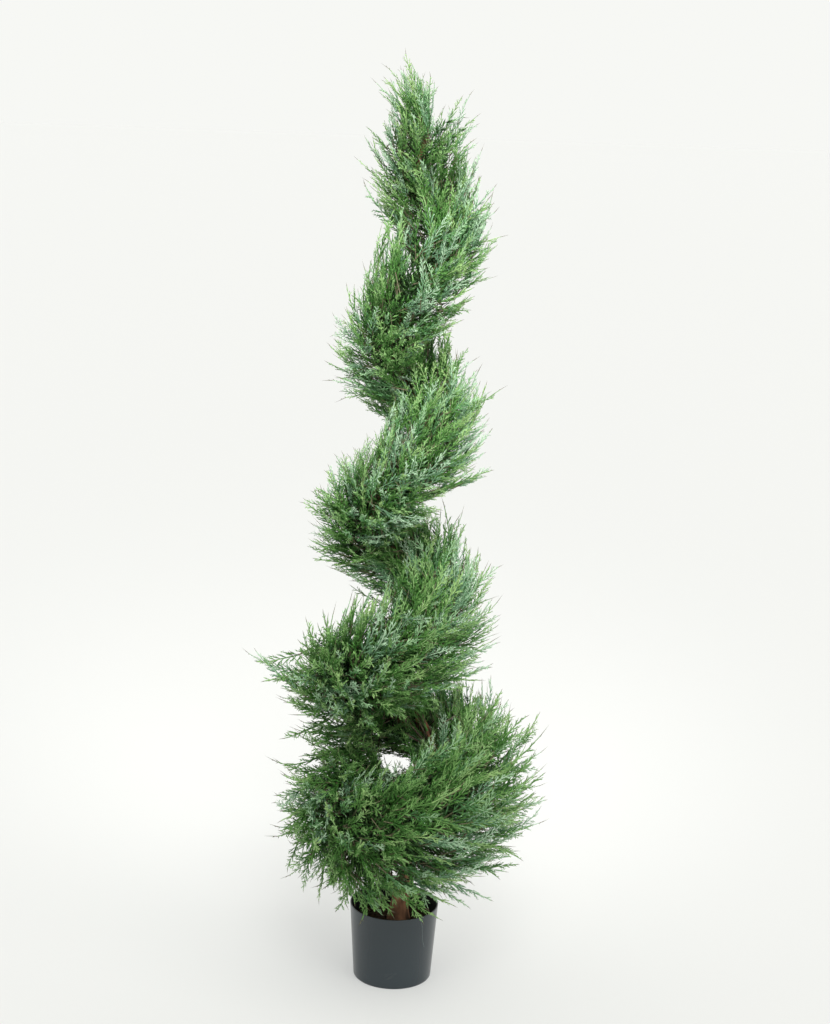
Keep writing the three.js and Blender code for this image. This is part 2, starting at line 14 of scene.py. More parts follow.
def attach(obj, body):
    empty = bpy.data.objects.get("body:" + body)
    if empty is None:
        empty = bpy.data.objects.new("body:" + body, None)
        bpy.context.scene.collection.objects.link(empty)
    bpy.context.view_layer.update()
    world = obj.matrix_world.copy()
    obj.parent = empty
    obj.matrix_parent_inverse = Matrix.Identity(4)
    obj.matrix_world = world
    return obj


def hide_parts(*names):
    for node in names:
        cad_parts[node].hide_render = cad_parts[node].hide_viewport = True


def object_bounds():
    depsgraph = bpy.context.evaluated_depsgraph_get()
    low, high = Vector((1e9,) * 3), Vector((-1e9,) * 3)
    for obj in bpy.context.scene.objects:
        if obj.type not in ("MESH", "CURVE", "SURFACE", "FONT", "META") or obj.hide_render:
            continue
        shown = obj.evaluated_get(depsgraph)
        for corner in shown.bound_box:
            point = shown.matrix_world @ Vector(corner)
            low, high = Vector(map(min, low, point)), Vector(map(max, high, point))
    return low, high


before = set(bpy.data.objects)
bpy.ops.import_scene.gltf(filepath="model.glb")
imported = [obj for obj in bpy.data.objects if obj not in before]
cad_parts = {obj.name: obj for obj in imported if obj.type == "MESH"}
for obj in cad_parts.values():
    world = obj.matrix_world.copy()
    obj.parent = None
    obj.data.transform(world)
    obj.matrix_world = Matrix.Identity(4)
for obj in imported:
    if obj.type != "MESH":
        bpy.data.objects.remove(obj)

CAD_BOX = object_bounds()
MM = 0.001

# ---- The stem and the reach of its foliage, as in the CAD source ----

POT_HEIGHT = 152
POT_RIM_RADIUS = 88
POT_BASE_RADIUS = 77.5
POT_WALL = 2.2
POT_FLOOR = 3
FILL_HEIGHT = 118
FILL_PAD_RADIUS = 30
FILL_DIP = 5

# A turn of 0 is the left of the first tier, 0.25 its front and 0.5 its right.
FOOT_TURN = -0.5
JOIN_TURN = 0
TOP_TURN = 4.1
FOOT_X = 9
FOOT_HEIGHT = FILL_HEIGHT
FIRST_TIER_HEIGHT = 345
PITCH = 340
RISE_TURN = 0.25
RISE_SOFTNESS = 0.12
WINDING_RADIUS = 95
WINDING_TAPER = 21.5
WINDING_EASE = 1
AXIS_LEAST_X = -16
AXIS_BOW = 9.5
AXIS_BOW_TURN = 1.9

TRUNK_FOOT_RADIUS = 16
TRUNK_TIP_RADIUS = 4
TRUNK_TAPER_POWER = 0.8
FLARE = 7
FLARE_HEIGHT = 20

MASS_COUNT = 19
STEPS_PER_MASS = 3
BARE_STEPS = 3
STEP_COUNT = BARE_STEPS + MASS_COUNT * STEPS_PER_MASS

REACH_LOW = 118
REACH_TAPER = 6.5
SKIRT_REACH = 74
SKIRT_TURN = 0.28
SKIRT_SPREAD = 0.48
START_SHARE = 0.82
START_SPREAD = 0.25
UP_SHARE = (0.72, 1.08)
DOWN_SHARE = (0.96, 1)
INWARD_SHARE = (0.52, 0.95)
SHARE_TURNS = (0.6, 1.5)
# Where the foliage is fuller, or with a loss thinner: turn, run, angle, width and gain.
SWELLS = (
    (-0.12, 0.1, 60, 50, -0.12),
    (0, 0.12, 0, 50, -0.05),
    (-0.03, 0.16, 80, 45, 0.16),
    (0.2, 0.12, 75, 40, -0.15),
    (0.5, 0.08, 335, 40, -0.1),
    (0.58, 0.14, 245, 55, -0.5),
    (0.6, 0.13, 120, 52, -0.6),
    (0.8, 0.12, 265, 45, 0.2),
    (1.07, 0.15, 35, 50, 0.2),
    (1.2, 0.12, 65, 40, 0.2),
    (1.3, 0.12, 280, 45, 0.26),
    (1.57, 0.15, 20, 50, 0.17),
    (1.65, 0.12, 220, 40, 0.22),
    (1.9, 0.12, 280, 45, 0.08),
    (2.15, 0.12, 70, 40, -0.18),
    (2.4, 0.14, 315, 45, 0.15),
    (2.62, 0.12, 25, 55, 0.18),
    (2.8, 0.12, 275, 40, 0.1),
    (3.1, 0.1, 20, 40, -0.1),
    (3.27, 0.1, 75, 35, 0.26),
    (3.55, 0.14, 205, 45, 0.3),
    (3.62, 0.14, 35, 50, 0.2),
    (3.95, 0.15, 160, 50, 0.18),
    (4, 0.15, 0, 60, -0.1),
)

LEAN_LOW = 0.5
LEAN_TOP = 0.75
LEAN_START = -0.35
LEAN_START_SPREAD = 0.35
PLUME_DIRECTION = np.array([-0.3, 0, 1]) / math.hypot(0.3, 1)

BOUGH_STEPS = (13, 14, 15)
BOUGH_LENGTH = 74
BOUGH_RADII = (4.8, 3.2)
BOUGH_SUNK = 0.6  # share of the stem's radius at which a bough starts
BOUGH_RISE = 0.45  # shares of a bough's length: up to its bend,
BOUGH_TOP_RISE = 0.3  # on from there,
BOUGH_SWEEP = 0.45  # and forward along the stem
BOUGH_INWARD = 0.5

# ---- The finer foliage ----

FOLIAGE_SEED = 1420
SPRAY_KINDS = 14
PLAIN_KINDS = 4  # coarser sprays for the shaded middle
SPRAY_TOTAL = 5150
EVEN_STEPS = (0.7549, 0.5698)  # a sequence with these steps spreads places evenly
TRIES_PER_SPRAY = 12
TURN_SAMPLES = 300
ANGLE_SAMPLES = 48
DENSE_SHARE = 0.6  # of the most stretched surface, above which no place is left out
LEAST_DENSITY = 0.06
START_DENSITY = 1.7  # how much denser the winding's start is grown, so that it closes over the end
START_DENSE_RUN = 0.45
FULL_TURN = 0.46  # where the lowest tier's right side is grown denser too, and reaches further
FULL_RUN = 0.14
FULL_DENSITY = 0.4
FULL_REACH = 0.07
INNER_SHARE = 0.39  # of the sprays, which fill the middle

SPRAY_LENGTHS = (72, 118)
LENGTH_REACH = 115  # the reach of foliage at which its sprays have these lengths
LENGTH_SHARES = (0.7, 1.15)  # the least and the most of them elsewhere
SPRAY_WIDTHS = (0.85, 1.25)
SPRAY_SWEEP = 0.75  # how far the sprays sweep forward along the stem, beyond the lean of their tips
SWEEP_SCATTER = 0.38
SWEEP_START_SPREAD = 0.3  # turns over which the foliage takes up its sweep
SIDE_SCATTER = 0.43
FLAT_SCATTER = 0.5
START_DROOP = 0.5  # slope by which the sprays at the winding's start hang
DROOP_RUN = 0.5
CURL_FORWARD = (0.04, 0.08)  # mean and scatter of how the tips curl, as shares of the length
CURL_AWAY = (0, 0.05)
CURL_UP = (0.04, 0.05)
TIP_REACH = (0.755, 0.968)
INNER_REACH = (0.35, 0.75)
LONG_TIPS = 0.1  # share of the sprays that stand out further
LONG_REACH = 1.06

STRAY_SPRAYS = 8
STRAY_TURN = 0.96
STRAY_TURN_SCATTER = 0.03
STRAY_ANGLE = -5
STRAY_ANGLE_SCATTER = 8
STRAY_REACH = 1.5

PLUME_SPRAYS = 50
PLUME_LENGTH = 130
PLUME_LENGTH_SHARES = (0.5, 1)
PLUME_OUTER_LOSS = 0.28  # by how much the outermost of its sprays are shorter
PLUME_WIDTH = 0.8
PLUME_SPREAD = 0.54  # radians by which they lean away
PLUME_LEANS = (0.8, 1.1)
PLUME_ROOTS = (-30, 25)
PLUME_ROOT_OUT = 12
PLUME_CURL = -0.12  # by which the plume's tips bend to the left
PLUME_UPTURN = (0, 0.1)

# Narrow slots through the crown that sprays keep out of: both ends of the middle line, and the radius.
OPEN_SLOTS = (
    ((-8, -160, 501), (-9, 160, 384), 22),  # the patch of sky over the lowest tier
    ((14, -160, 499), (14, 160, 382), 14),
    ((64, -144, 537), (66, 10, 483), 15),  # the view of the bare stem beside it
    ((70, -160, 1000), (76, 160, 930), 25),  # the notch at the right over the second tier
    ((-80, -160, 1112), (-88, 160, 1052), 15),  # the one at the left over the third
    ((18, -160, 218), (18, -25, 158), 11),  # the view of the stem's foot
    ((9, -160, 1504), (9, 10, 1492), 9),  # a dark hole high up in the front
)
SLOT_EDGE = (0.6, 1.15)  # share of the radius that a spray keeps clear, which leaves a ragged edge
SLOT_SAMPLES = 9

TWIG_SHARE = 0.16  # of the sprays, whose twig is made down to the stem
TWIG_RADII = (1.8, 1.5, 1.1)
TWIG_BACK = 0.04  # turns further down the stem at which it starts
TWIG_ELBOW = 0.6
TWIG_BOW = 4
TWIG_OVERLAP = 0.2  # how far it follows the spray's own axis

FAN_TURN = 0.6  # where a few bare limbs fan out from the stem, over the patch of sky
FAN_ENDS = ((-52, -40, 36), (-40, -44, 50), (-24, -46, 54), (-6, -46, 48))
FAN_RADII = (3, 2.2, 1.2)
FAN_SAG = 5
FAN_SIDES = 6

BOUGH_SPRAYS = 9
BOUGH_SPRAY_LENGTH = 82
BOUGH_SPRAY_WIDTH = 0.9
BOUGH_SPRAY_LEAN = 0.55
BOUGH_SPRAY_TURN = 2.4
BOUGH_SPRAY_ROOTS = (6, 26)  # where the first is rooted, and the stretch over which all are
BOUGH_TIP_STATIONS = (-2, 34, 60)
BOUGH_TIP_RADII = (3, 2)

# Foliage may leave the CAD box by this share of its size, and by this many millimetres more.
BOX_MARGIN = 0.02
BOX_MARGIN_MM = 8
LOWEST, HIGHEST = np.array(CAD_BOX) / MM
PROUD = (HIGHEST - LOWEST) * BOX_MARGIN + BOX_MARGIN_MM

rng = np.random.default_rng(FOLIAGE_SEED)


def lerp(low, high, share):
    return low + (high - low) * share


def smoothstep(x, low, high):
    share = np.clip((x - low) / (high - low), 0, 1)
    return share * share * (3 - 2 * share)


def unit(vectors):
    return vectors / np.linalg.norm(vectors, axis=-1, keepdims=True)


def stem_point(turn):
    turn = np.asarray(turn, float)
    angle = np.pi * (1 + 2 * turn)
    radius = WINDING_RADIUS - WINDING_TAPER * turn + WINDING_EASE * turn ** 2
    axis_x = AXIS_LEAST_X + AXIS_BOW * (turn - AXIS_BOW_TURN) ** 2
    rise = np.log1p(np.exp((turn - RISE_TURN) / RISE_SOFTNESS)) * RISE_SOFTNESS
    swing = smoothstep(turn, FOOT_TURN, JOIN_TURN)
    climb = np.clip((turn - FOOT_TURN) / (JOIN_TURN - FOOT_TURN), 0, 1)
    return np.stack([
        lerp(FOOT_X, axis_x + radius * np.cos(angle), swing),
        radius * np.sin(angle) * swing,
        lerp(FOOT_HEIGHT, FIRST_TIER_HEIGHT + PITCH * rise, 1 - (1 - climb) ** 2),
    ], axis=-1)


def stem_directions(turn):
    """Unit vectors forward along the stem, outward from the winding's axis and upward."""
    turn = np.asarray(turn, float)
    step = 1e-3
    forward = unit(stem_point(turn + step) - stem_point(turn - step))
    angle = np.pi * (1 + 2 * turn)
    level = np.stack([np.cos(angle), np.sin(angle), 0 * angle], axis=-1)
    outward = unit(level - forward * (level * forward).sum(-1, keepdims=True))
    return forward, outward, np.cross(outward, forward)


def turn_of(step):
    return lerp(FOOT_TURN, TOP_TURN, step / STEP_COUNT)


START_TURN = turn_of(BARE_STEPS)


def trunk_radius(turn):
    along = np.clip((turn - FOOT_TURN) / (TOP_TURN - FOOT_TURN), 0, 1)
    return lerp(TRUNK_FOOT_RADIUS, TRUNK_TIP_RADIUS, along ** TRUNK_TAPER_POWER)


def reach_at(turn, angle):
    """How far foliage reaches from the stem, at an angle in radians up and round from outward."""
    skirt = SKIRT_REACH * np.exp(-(((turn - SKIRT_TURN) / SKIRT_SPREAD) ** 2))
    start = lerp(START_SHARE, 1, smoothstep(turn, START_TURN, START_TURN + START_SPREAD))
    outward = (REACH_LOW - REACH_TAPER * turn + skirt) * start
    share = smoothstep(turn, *SHARE_TURNS)
    level = np.where(np.cos(angle) > 0, 1, lerp(*INWARD_SHARE, share))
    upright = np.where(np.sin(angle) > 0, lerp(*UP_SHARE, share), lerp(*DOWN_SHARE, share))
    fullness = 1
    for middle, run, toward, width, gain in SWELLS:
        across = np.degrees(np.arccos(np.clip(np.cos(angle - math.radians(toward)), -1, 1)))
        fullness = fullness + gain * np.exp(-((across / width) ** 2) - ((turn - middle) / run) ** 2)
    return outward * fullness / np.hypot(np.cos(angle) / level, np.sin(angle) / upright)


def lean_at(turn):
    forward = lerp(LEAN_LOW, LEAN_TOP, np.clip(turn / TOP_TURN, 0, 1) ** 2)
    return lerp(LEAN_START, forward, smoothstep(turn, START_TURN, START_TURN + LEAN_START_SPREAD))


# ---- Meshes from arrays ----


class Shape:
    """Points and triangles that are gathered and then made into one mesh."""

    def __init__(self):
        self.points, self.triangles, self.looks = [], [], []
        self.count = 0

    def add(self, points, triangles, looks):
        """Looks are material indices, one for all triangles or one for each."""
        triangles = np.asarray(triangles)
        self.points.append(np.asarray(points, float))
        self.triangles.append(triangles + self.count)
        self.looks.append(np.broadcast_to(np.asarray(looks), len(triangles)))
        self.count += len(points)

    def arrays(self):
        return np.concatenate(self.points), np.concatenate(self.triangles), np.concatenate(self.looks)


def make_piece(name, shape, materials, replaced=()):
    points, triangles, looks = shape.arrays()
    mesh = bpy.data.meshes.new(name)
    mesh.vertices.add(len(points))
    mesh.vertices.foreach_set("co", (points * MM).astype(np.float32).ravel())
    mesh.loops.add(3 * len(triangles))
    mesh.loops.foreach_set("vertex_index", triangles.astype(np.int32).ravel())
    mesh.polygons.add(len(triangles))
    mesh.polygons.foreach_set("loop_start", np.arange(0, 3 * len(triangles), 3, dtype=np.int32))
    mesh.polygons.foreach_set("material_index", looks.astype(np.int32))
    mesh.polygons.foreach_set("use_smooth", np.ones(len(triangles), bool))
    mesh.update(calc_edges=True)
    for material in materials:
        mesh.materials.append(material)
    piece = bpy.data.objects.new(name, mesh)
    bpy.context.scene.collection.objects.link(piece)
    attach(piece, "root")
    if replaced:
        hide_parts(*replaced)
    return piece


def square_to(axis):
    """Two unit vectors square to an axis and to each other."""
    upright = abs(axis[2]) < 0.9 * np.linalg.norm(axis)
    helper = np.array([0, 0, 1.0]) if upright else np.array([1.0, 0, 0])
    across = unit(np.cross(axis, helper))
    return across, unit(np.cross(axis, across))


def ring_angles(sides):
    return np.arange(sides) * 2 * math.pi / sides


def ring_points(middle, radius, across, aloft, angles):
    return middle + radius * (np.cos(angles)[:, None] * across + np.sin(angles)[:, None] * aloft)


def band_triangles(rings, sides):
    """Triangles between rings of points that follow one another."""
    i, j = np.meshgrid(np.arange(rings - 1), np.arange(sides), indexing="ij")
    k = (j + 1) % sides
    a, b = i * sides + j, i * sides + k
    c, d = (i + 1) * sides + k, (i + 1) * sides + j
    halves = (np.stack([a, b, c], -1), np.stack([a, c, d], -1))
    return np.concatenate([half.reshape(-1, 3) for half in halves])


SPINDLE_TURN = 0.5
CORNERS = np.array([
    [math.cos(a), math.sin(a)]
    for a in (SPINDLE_TURN, SPINDLE_TURN + 2 * math.pi / 3, SPINDLE_TURN + 4 * math.pi / 3)
])
NEEDLE_BELLY = 0.42  # where along it a needle is widest
NEEDLE_FOLD = 0.45  # how deep its fold is, as a share of its half width


def add_needle(shape, start, end, half_width, flat, look):
    """A needle of two faces, folded along its middle."""
    axis = end - start
    side = unit(np.cross(axis, flat)) * half_width
    middle = start + axis * NEEDLE_BELLY - unit(flat) * half_width * NEEDLE_FOLD
    shape.add([start, middle + side, end, middle - side], [(0, 1, 2), (0, 2, 3)], look)


def add_spindle(shape, start, end, radius, belly, look):
    """A three-sided twiglet, thickest part of the way up."""
    across, aloft = square_to(end - start)
    ring = lerp(start, end, belly) + radius * (CORNERS[:, :1] * across + CORNERS[:, 1:] * aloft)
    sides = [(j, (j + 1) % 3) for j in range(3)]
    triangles = [(4, a, b)[::-1] for a, b in sides] + [(a, b, 3) for a, b in sides]
    shape.add([*ring, end, start], triangles, look)


def add_tube(shape, points, radii, look, sides=3):
    """A tapering limb through points, which ends in a tip."""
    looks = [look] * len(points) if np.isscalar(look) else look
    angles = ring_angles(sides)
    rings = []
    for i in range(len(points) - 1):
        across, aloft = square_to(points[i + 1] - points[max(i - 1, 0)])
        rings.append(ring_points(points[i], radii[i], across, aloft, angles))
    triangles = []
    for i in range(len(rings) - 1):
        for j in range(sides):
            k = (j + 1) % sides
            a, b, c, d = i * sides + j, i * sides + k, (i + 1) * sides + k, (i + 1) * sides + j
            triangles += [(a, b, c), (a, c, d)]
    tip = len(rings) * sides
    last = (len(rings) - 1) * sides
    triangles += [(last + j, last + (j + 1) % sides, tip) for j in range(sides)]
    face_looks = np.repeat(looks[:len(rings)], 2 * sides)[:len(triangles)]
    shape.add([*np.concatenate(rings), points[-1]], triangles, face_looks)


# ---- Materials ----


def linear(colour):
    """The linear base colour of an sRGB colour written as a hex number."""
    values = [((colour >> shift) & 255) / 255 for shift in (16, 8, 0)]
    return [v / 12.92 if v <= 0.04045 else ((v + 0.055) / 1.055) ** 2.4 for v in values] + [1]


def shader_inputs(material):
    return material.node_tree.nodes["Principled BSDF"].inputs


def new_material(name, colour, roughness, specular):
    material = bpy.data.materials.new(name)
    material.use_nodes = True
    inputs = shader_inputs(material)
    inputs["Base Color"].default_value = linear(colour)
    inputs["Roughness"].default_value = roughness
    inputs["Specular IOR Level"].default_value = specular
    return material


def noise_node(material, scale, detail, stretch=(1, 1, 1)):
    tree = material.node_tree
    place = tree.nodes.new("ShaderNodeTexCoord")
    mapping = tree.nodes.new("ShaderNodeMapping")
    mapping.inputs["Scale"].default_value = stretch
    noise = tree.nodes.new("ShaderNodeTexNoise")
    noise.inputs["Scale"].default_value = scale
    noise.inputs["Detail"].default_value = detail
    tree.links.new(place.outputs["Object"], mapping.inputs["Vector"])
    tree.links.new(mapping.outputs["Vector"], noise.inputs["Vector"])
    return noise


def colour_by(material, source, stops):
    tree = material.node_tree
    ramp = tree.nodes.new("ShaderNodeValToRGB")
    while len(ramp.color_ramp.elements) < len(stops):
        ramp.color_ramp.elements.new(0.5)
    for element, (position, colour) in zip(ramp.color_ramp.elements, stops):
        element.position = position
        element.color = colour
    tree.links.new(source, ramp.inputs["Fac"])
    tree.links.new(ramp.outputs["Color"], shader_inputs(material)["Base Color"])


def roughen_by(material, source, low, high):
    tree = material.node_tree
    spread = tree.nodes.new("ShaderNodeMapRange")
    spread.inputs["To Min"].default_value = low
    spread.inputs["To Max"].default_value = high
    tree.links.new(source, spread.inputs["Value"])
    tree.links.new(spread.outputs["Result"], shader_inputs(material)["Roughness"])


def emboss_by(material, source, strength, distance):
    tree = material.node_tree
    bump = tree.nodes.new("ShaderNodeBump")
    bump.inputs["Strength"].default_value = strength
    bump.inputs["Distance"].default_value = distance
    tree.links.new(source, bump.inputs["Height"])
    tree.links.new(bump.outputs["Normal"], shader_inputs(material)["Normal"])


def leaf_material(name, colour):
    """Soft moulded needles: one plain colour, with an uneven sheen and small scales."""
    material = new_material(name, colour, roughness=0.55, specular=0.35)
    noise = noise_node(material, 900, 1)
    roughen_by(material, noise.outputs["Fac"], 0.42, 0.72)
    emboss_by(material, noise.outputs["Fac"], 0.5, 0.0006)
    return material


# Each family of sprays has a body colour and a lighter one for its tips.
LEAF_FAMILIES = {
    "mid": (0x51823A, 0x88AE6D),
    "fresh": (0x5B8943, 0x8EB16E),
    "glaucous": (0x6B936F, 0xA5C3A2),
    "cool": (0x548450, 0x8FB487),
    # deep is a darker green dealt at random, and dealt again as painted shade to the middle, the lowest
    # tier and the backs of the tiers
    "deep": (0x3F702C, 0x6D9853),
    # The next family is painted shade: a near-black green given only to the sprays in the middle, where
    # shade falls
    "shade": (0x24421A, 0x335A26),
}
FAMILY_NAMES = list(LEAF_FAMILIES)
LEAF_MATERIALS = []
for family, (body, tip) in LEAF_FAMILIES.items():
    LEAF_MATERIALS.append(leaf_material(f"leaf_{family}", body))
    LEAF_MATERIALS.append(leaf_material(f"leaf_{family}_tip", tip))
LEAF_MATERIALS.append(leaf_material("stalk", 0x67644B))


def bark_material(name, dark, light):
    material = new_material(name, light, roughness=0.85, specular=0.25)
    strands = noise_node(material, 90, 6, (1, 1, 0.22))
    colour_by(material, strands.outputs["Fac"], [(0.3, linear(dark)), (0.68, linear(light))])
    emboss_by(material, strands.outputs["Fac"], 0.7, 0.002)
    return material


BARK = bark_material("bark", 0x3A2A20, 0x9A6F53)
TWIG = bark_material("twig", 0x26211A, 0x443A2B)
FAN_BARK = bark_material("fan_bark", 0x2F2721, 0x8E7B6B)


# ---- Sprays ----

# A tone from low to high picks the family: deep at the low end, glaucous at the high one.
TONE_ORDER = ("deep", "mid", "fresh", "cool", "glaucous")
TONE_EDGES = (-1.35, -0.1, 0.55, 1.4)
TONE_SCATTER = 1.25
LOW_PAINTED_SHADE = -0.8  # how far the lowest tier leans to the deeper colours: painted shade, for the weaker light low down
LOW_PAINTED_SHADE_END = 1.8
TOP_PAINTED_LIGHT = 0.5  # the plume to the lighter ones: painted light, for the stronger light at the top
TOP_PAINTED_LIGHT_START = 3.2
FRONT_PAINTED_LIGHT = 0.35  # and the front of every tier to the bluer, lighter ones and its back to the deeper ones: painted light and shade, for the light that falls on the front
FRONT_PAINTED_LIGHT_TURN = 0.08
PAINTED_SHADE_SHARE = 0.6  # of the sprays in the middle, which take the near-black family as painted shade; the others there are deep, also as painted shade

UP_FLAT = np.array([0, 0, 1.0])
STALK = -1  # the look of bare stalks, which all families share
WIRY_TIPS = (0.08, 0.13, 0.1, 0.22)  # the nearly bare ends of the sprays' axes, by kind

# A kind of spray is 1 long, and its sizes are shares of that.
KIND_SEED = 77
AXIS_BEND = (-0.18, 0.18)
AXIS_LIFT = (-0.04, 0.1)
AXIS_WAVE = (-0.02, 0.02)
AXIS_WAVE_STEPS = 7
AXIS_HOOK = (0.4, 1.3)
AXIS_HOOK_START = 0.9
AXIS_STATIONS = (0, 0.3, 0.62, 0.9)
AXIS_TIP_STATION = 0.4  # share of the wiry tip
AXIS_RADII = (0.012, 0.011, 0.009, 0.008, 0.0065)
AXIS_LOOKS = (STALK, 0, 1, 1, STALK)
TIP_NEEDLES = 16  # for each unit of the wiry tip's length
TIP_NEEDLE_START = 0.98
TIP_NEEDLE_STEP = 0.045
TIP_NEEDLE = (0.035, 0.014, 0.004)
TIP_NEEDLE_HALF_WIDTH = 0.006
TIP_NEEDLES_LIGHT = 2

TWIGLETS = 15
TWIGLET_START = 0.1
TWIGLET_STRETCH = 0.85
TWIGLET_CROWDING = 0.9
TWIGLET_SHIFT = 0.015
TWIGLET_LENGTH = 0.29
TWIGLET_LEAST_LENGTH = 0.05
TWIGLET_TAPER_POWER = 0.7
TWIGLET_LENGTH_SHARES = (0.75, 1.2)
TWIGLET_SHORT_ROOT = (-0.15, 0.25)
TWIGLET_ROLL_SCATTER = 0.55
TWIGLET_ANGLES = (24, 41)  # degrees from the axis
TWIGLET_BEND = 0.5  # how far its outer half turns back along the axis
TWIGLET_RADIUS = 0.0127
TWIGLET_RADIUS_SHARES = (0.65, 1)
TWIGLET_FULL_LENGTH = 0.25  # from which it has its full radius
TWIGLET_BELLY = 0.35
LIGHT_TWIGLETS = 0.72  # from where along the spray twiglets have the tip's colour
LIGHT_NEEDLES = 0.6

NEEDLE_STEP = 0.042
LOW_NEEDLE_STEP = 0.07  # on the twiglets near the root
LOW_NEEDLES_END = 0.28
NEEDLE_START = 0.22
NEEDLE_STRETCH = 0.62
NEEDLE_LENGTHS = (0.078, 0.046)
UNEVEN = (0.8, 1.2)
NEEDLE_SCATTER = 0.35
NEEDLE_OUT = 0.5
NEEDLE_HALF_WIDTH = 0.008

PLAIN_STATIONS = (0, 0.5, 1)
PLAIN_RADII = (0.013, 0.01)
PLAIN_TWIGLETS = 11
PLAIN_START = 0.1
PLAIN_STRETCH = 0.8
PLAIN_ROLL_SCATTER = 0.7
PLAIN_FORWARD = 0.75
PLAIN_AWAY = 0.65
PLAIN_LENGTH = 0.3
PLAIN_LEAST_LENGTH = 0.1
PLAIN_TWIGLET_RADIUS = 0.02
PLAIN_BELLY = 0.4


def spray_axis(kind_rng):
    bend = kind_rng.uniform(*AXIS_BEND)
    lift = kind_rng.uniform(*AXIS_LIFT)
    wave = kind_rng.uniform(*AXIS_WAVE)
    hook = kind_rng.uniform(*AXIS_HOOK) * math.copysign(1, bend)

    def axis(share):
        end_bow = hook * max(share - AXIS_HOOK_START, 0) ** 2
        bow = bend * share ** 2 + wave * math.sin(AXIS_WAVE_STEPS * share) + end_bow
        return np.array([share, bow, lift * share ** 2])

    return axis


def add_axis(shape, axis, wiry_tip):
    """The stalk, with a few small needles where its end is nearly bare."""
    shares = (*AXIS_STATIONS, 1 + wiry_tip * AXIS_TIP_STATION, 1 + wiry_tip)
    add_tube(shape, [axis(share) for share in shares], AXIS_RADII, AXIS_LOOKS)
    forward, sideways, up = TIP_NEEDLE
    for i in range(round(wiry_tip * TIP_NEEDLES)):
        start = axis(TIP_NEEDLE_START + TIP_NEEDLE_STEP * i)
        end = start + np.array([forward, sideways * (-1) ** i, up])
        look = 1 if i < TIP_NEEDLES_LIGHT else STALK
        add_needle(shape, start, end, TIP_NEEDLE_HALF_WIDTH, UP_FLAT, look)


def add_twiglet_needles(shape, start, end, along, direction, length, share, kind_rng):
    needles = max(1, round(length / (NEEDLE_STEP if share > LOW_NEEDLES_END else LOW_NEEDLE_STEP)))
    for j in range(needles):
        way = (j + 0.5) / needles
        place = lerp(start, end, NEEDLE_START + NEEDLE_STRETCH * (j + 0.5) / needles)
        turn_side = 1 if j % 2 else -1
        sideways = np.cross(direction, np.cross(along, direction)) * turn_side
        out = unit(sideways + kind_rng.normal(0, NEEDLE_SCATTER, 3))
        reach = lerp(*NEEDLE_LENGTHS, way) * kind_rng.uniform(*UNEVEN)
        tip = place + unit(direction + NEEDLE_OUT * out) * reach
        flat = unit(kind_rng.normal(0, 1, 3))
        look = 1 if j == needles - 1 or share > LIGHT_NEEDLES else 0
        add_needle(shape, place, tip, NEEDLE_HALF_WIDTH, flat, look)


def add_twiglet(shape, axis, share, side, kind_rng):
    along = unit(axis(share + 0.01) - axis(share))
    length = TWIGLET_LENGTH * (1 - share) ** TWIGLET_TAPER_POWER + TWIGLET_LEAST_LENGTH
    length = length * kind_rng.uniform(*TWIGLET_LENGTH_SHARES)
    length *= float(smoothstep(share, *TWIGLET_SHORT_ROOT))
    roll = kind_rng.normal(0, TWIGLET_ROLL_SCATTER)
    away = np.array([0, side * math.cos(roll), math.sin(roll)])
    angle = math.radians(kind_rng.uniform(*TWIGLET_ANGLES))
    direction = along * math.cos(angle) + away * math.sin(angle)
    start = axis(share)
    elbow = start + direction * length * 0.5
    end = elbow + unit(direction + along * TWIGLET_BEND) * length * 0.5
    radius = TWIGLET_RADIUS * lerp(*TWIGLET_RADIUS_SHARES, min(length / TWIGLET_FULL_LENGTH, 1))
    add_spindle(shape, start, end, radius, TWIGLET_BELLY, 1 if share > LIGHT_TWIGLETS else 0)
    add_twiglet_needles(shape, start, end, along, direction, length, share, kind_rng)


def make_spray(kind_rng, wiry_tip):
    """One spray, 1 long: a thin curved axis with side twiglets in turn, each with a few needles."""
    shape = Shape()
    axis = spray_axis(kind_rng)
    add_axis(shape, axis, wiry_tip)
    for i in range(TWIGLETS):
        share = TWIGLET_START + TWIGLET_STRETCH * ((i + 0.5) / TWIGLETS) ** TWIGLET_CROWDING
        share = share + kind_rng.uniform(-TWIGLET_SHIFT, TWIGLET_SHIFT)
        add_twiglet(shape, axis, share, 1 if i % 2 else -1, kind_rng)
    return shape.arrays()


def make_plain_spray(kind_rng):
    """A coarse spray, 1 long: an axis and side twiglets with no needles."""
    shape = Shape()
    add_tube(shape, [np.array([share, 0, 0]) for share in PLAIN_STATIONS], PLAIN_RADII, 0)
    for i in range(PLAIN_TWIGLETS):
        share = PLAIN_START + PLAIN_STRETCH * (i + 0.5) / PLAIN_TWIGLETS
        roll = kind_rng.normal(0, PLAIN_ROLL_SCATTER)
        away = np.array([0, math.cos(roll) * (1 if i % 2 else -1), math.sin(roll)])
        start = np.array([share, 0, 0])
        direction = np.array([1, 0, 0]) * PLAIN_FORWARD + away * PLAIN_AWAY
        length = (PLAIN_LENGTH * (1 - share) + PLAIN_LEAST_LENGTH) * kind_rng.uniform(*UNEVEN)
        add_spindle(shape, start, start + direction * length, PLAIN_TWIGLET_RADIUS, PLAIN_BELLY, i % 2)
    return shape.arrays()


def make_kinds():
    kind_rng = np.random.default_rng(KIND_SEED)
    fine = [make_spray(kind_rng, WIRY_TIPS[i % len(WIRY_TIPS)]) for i in range(SPRAY_KINDS)]
    return fine + [make_plain_spray(kind_rng) for _ in range(PLAIN_KINDS)]


KINDS = make_kinds()


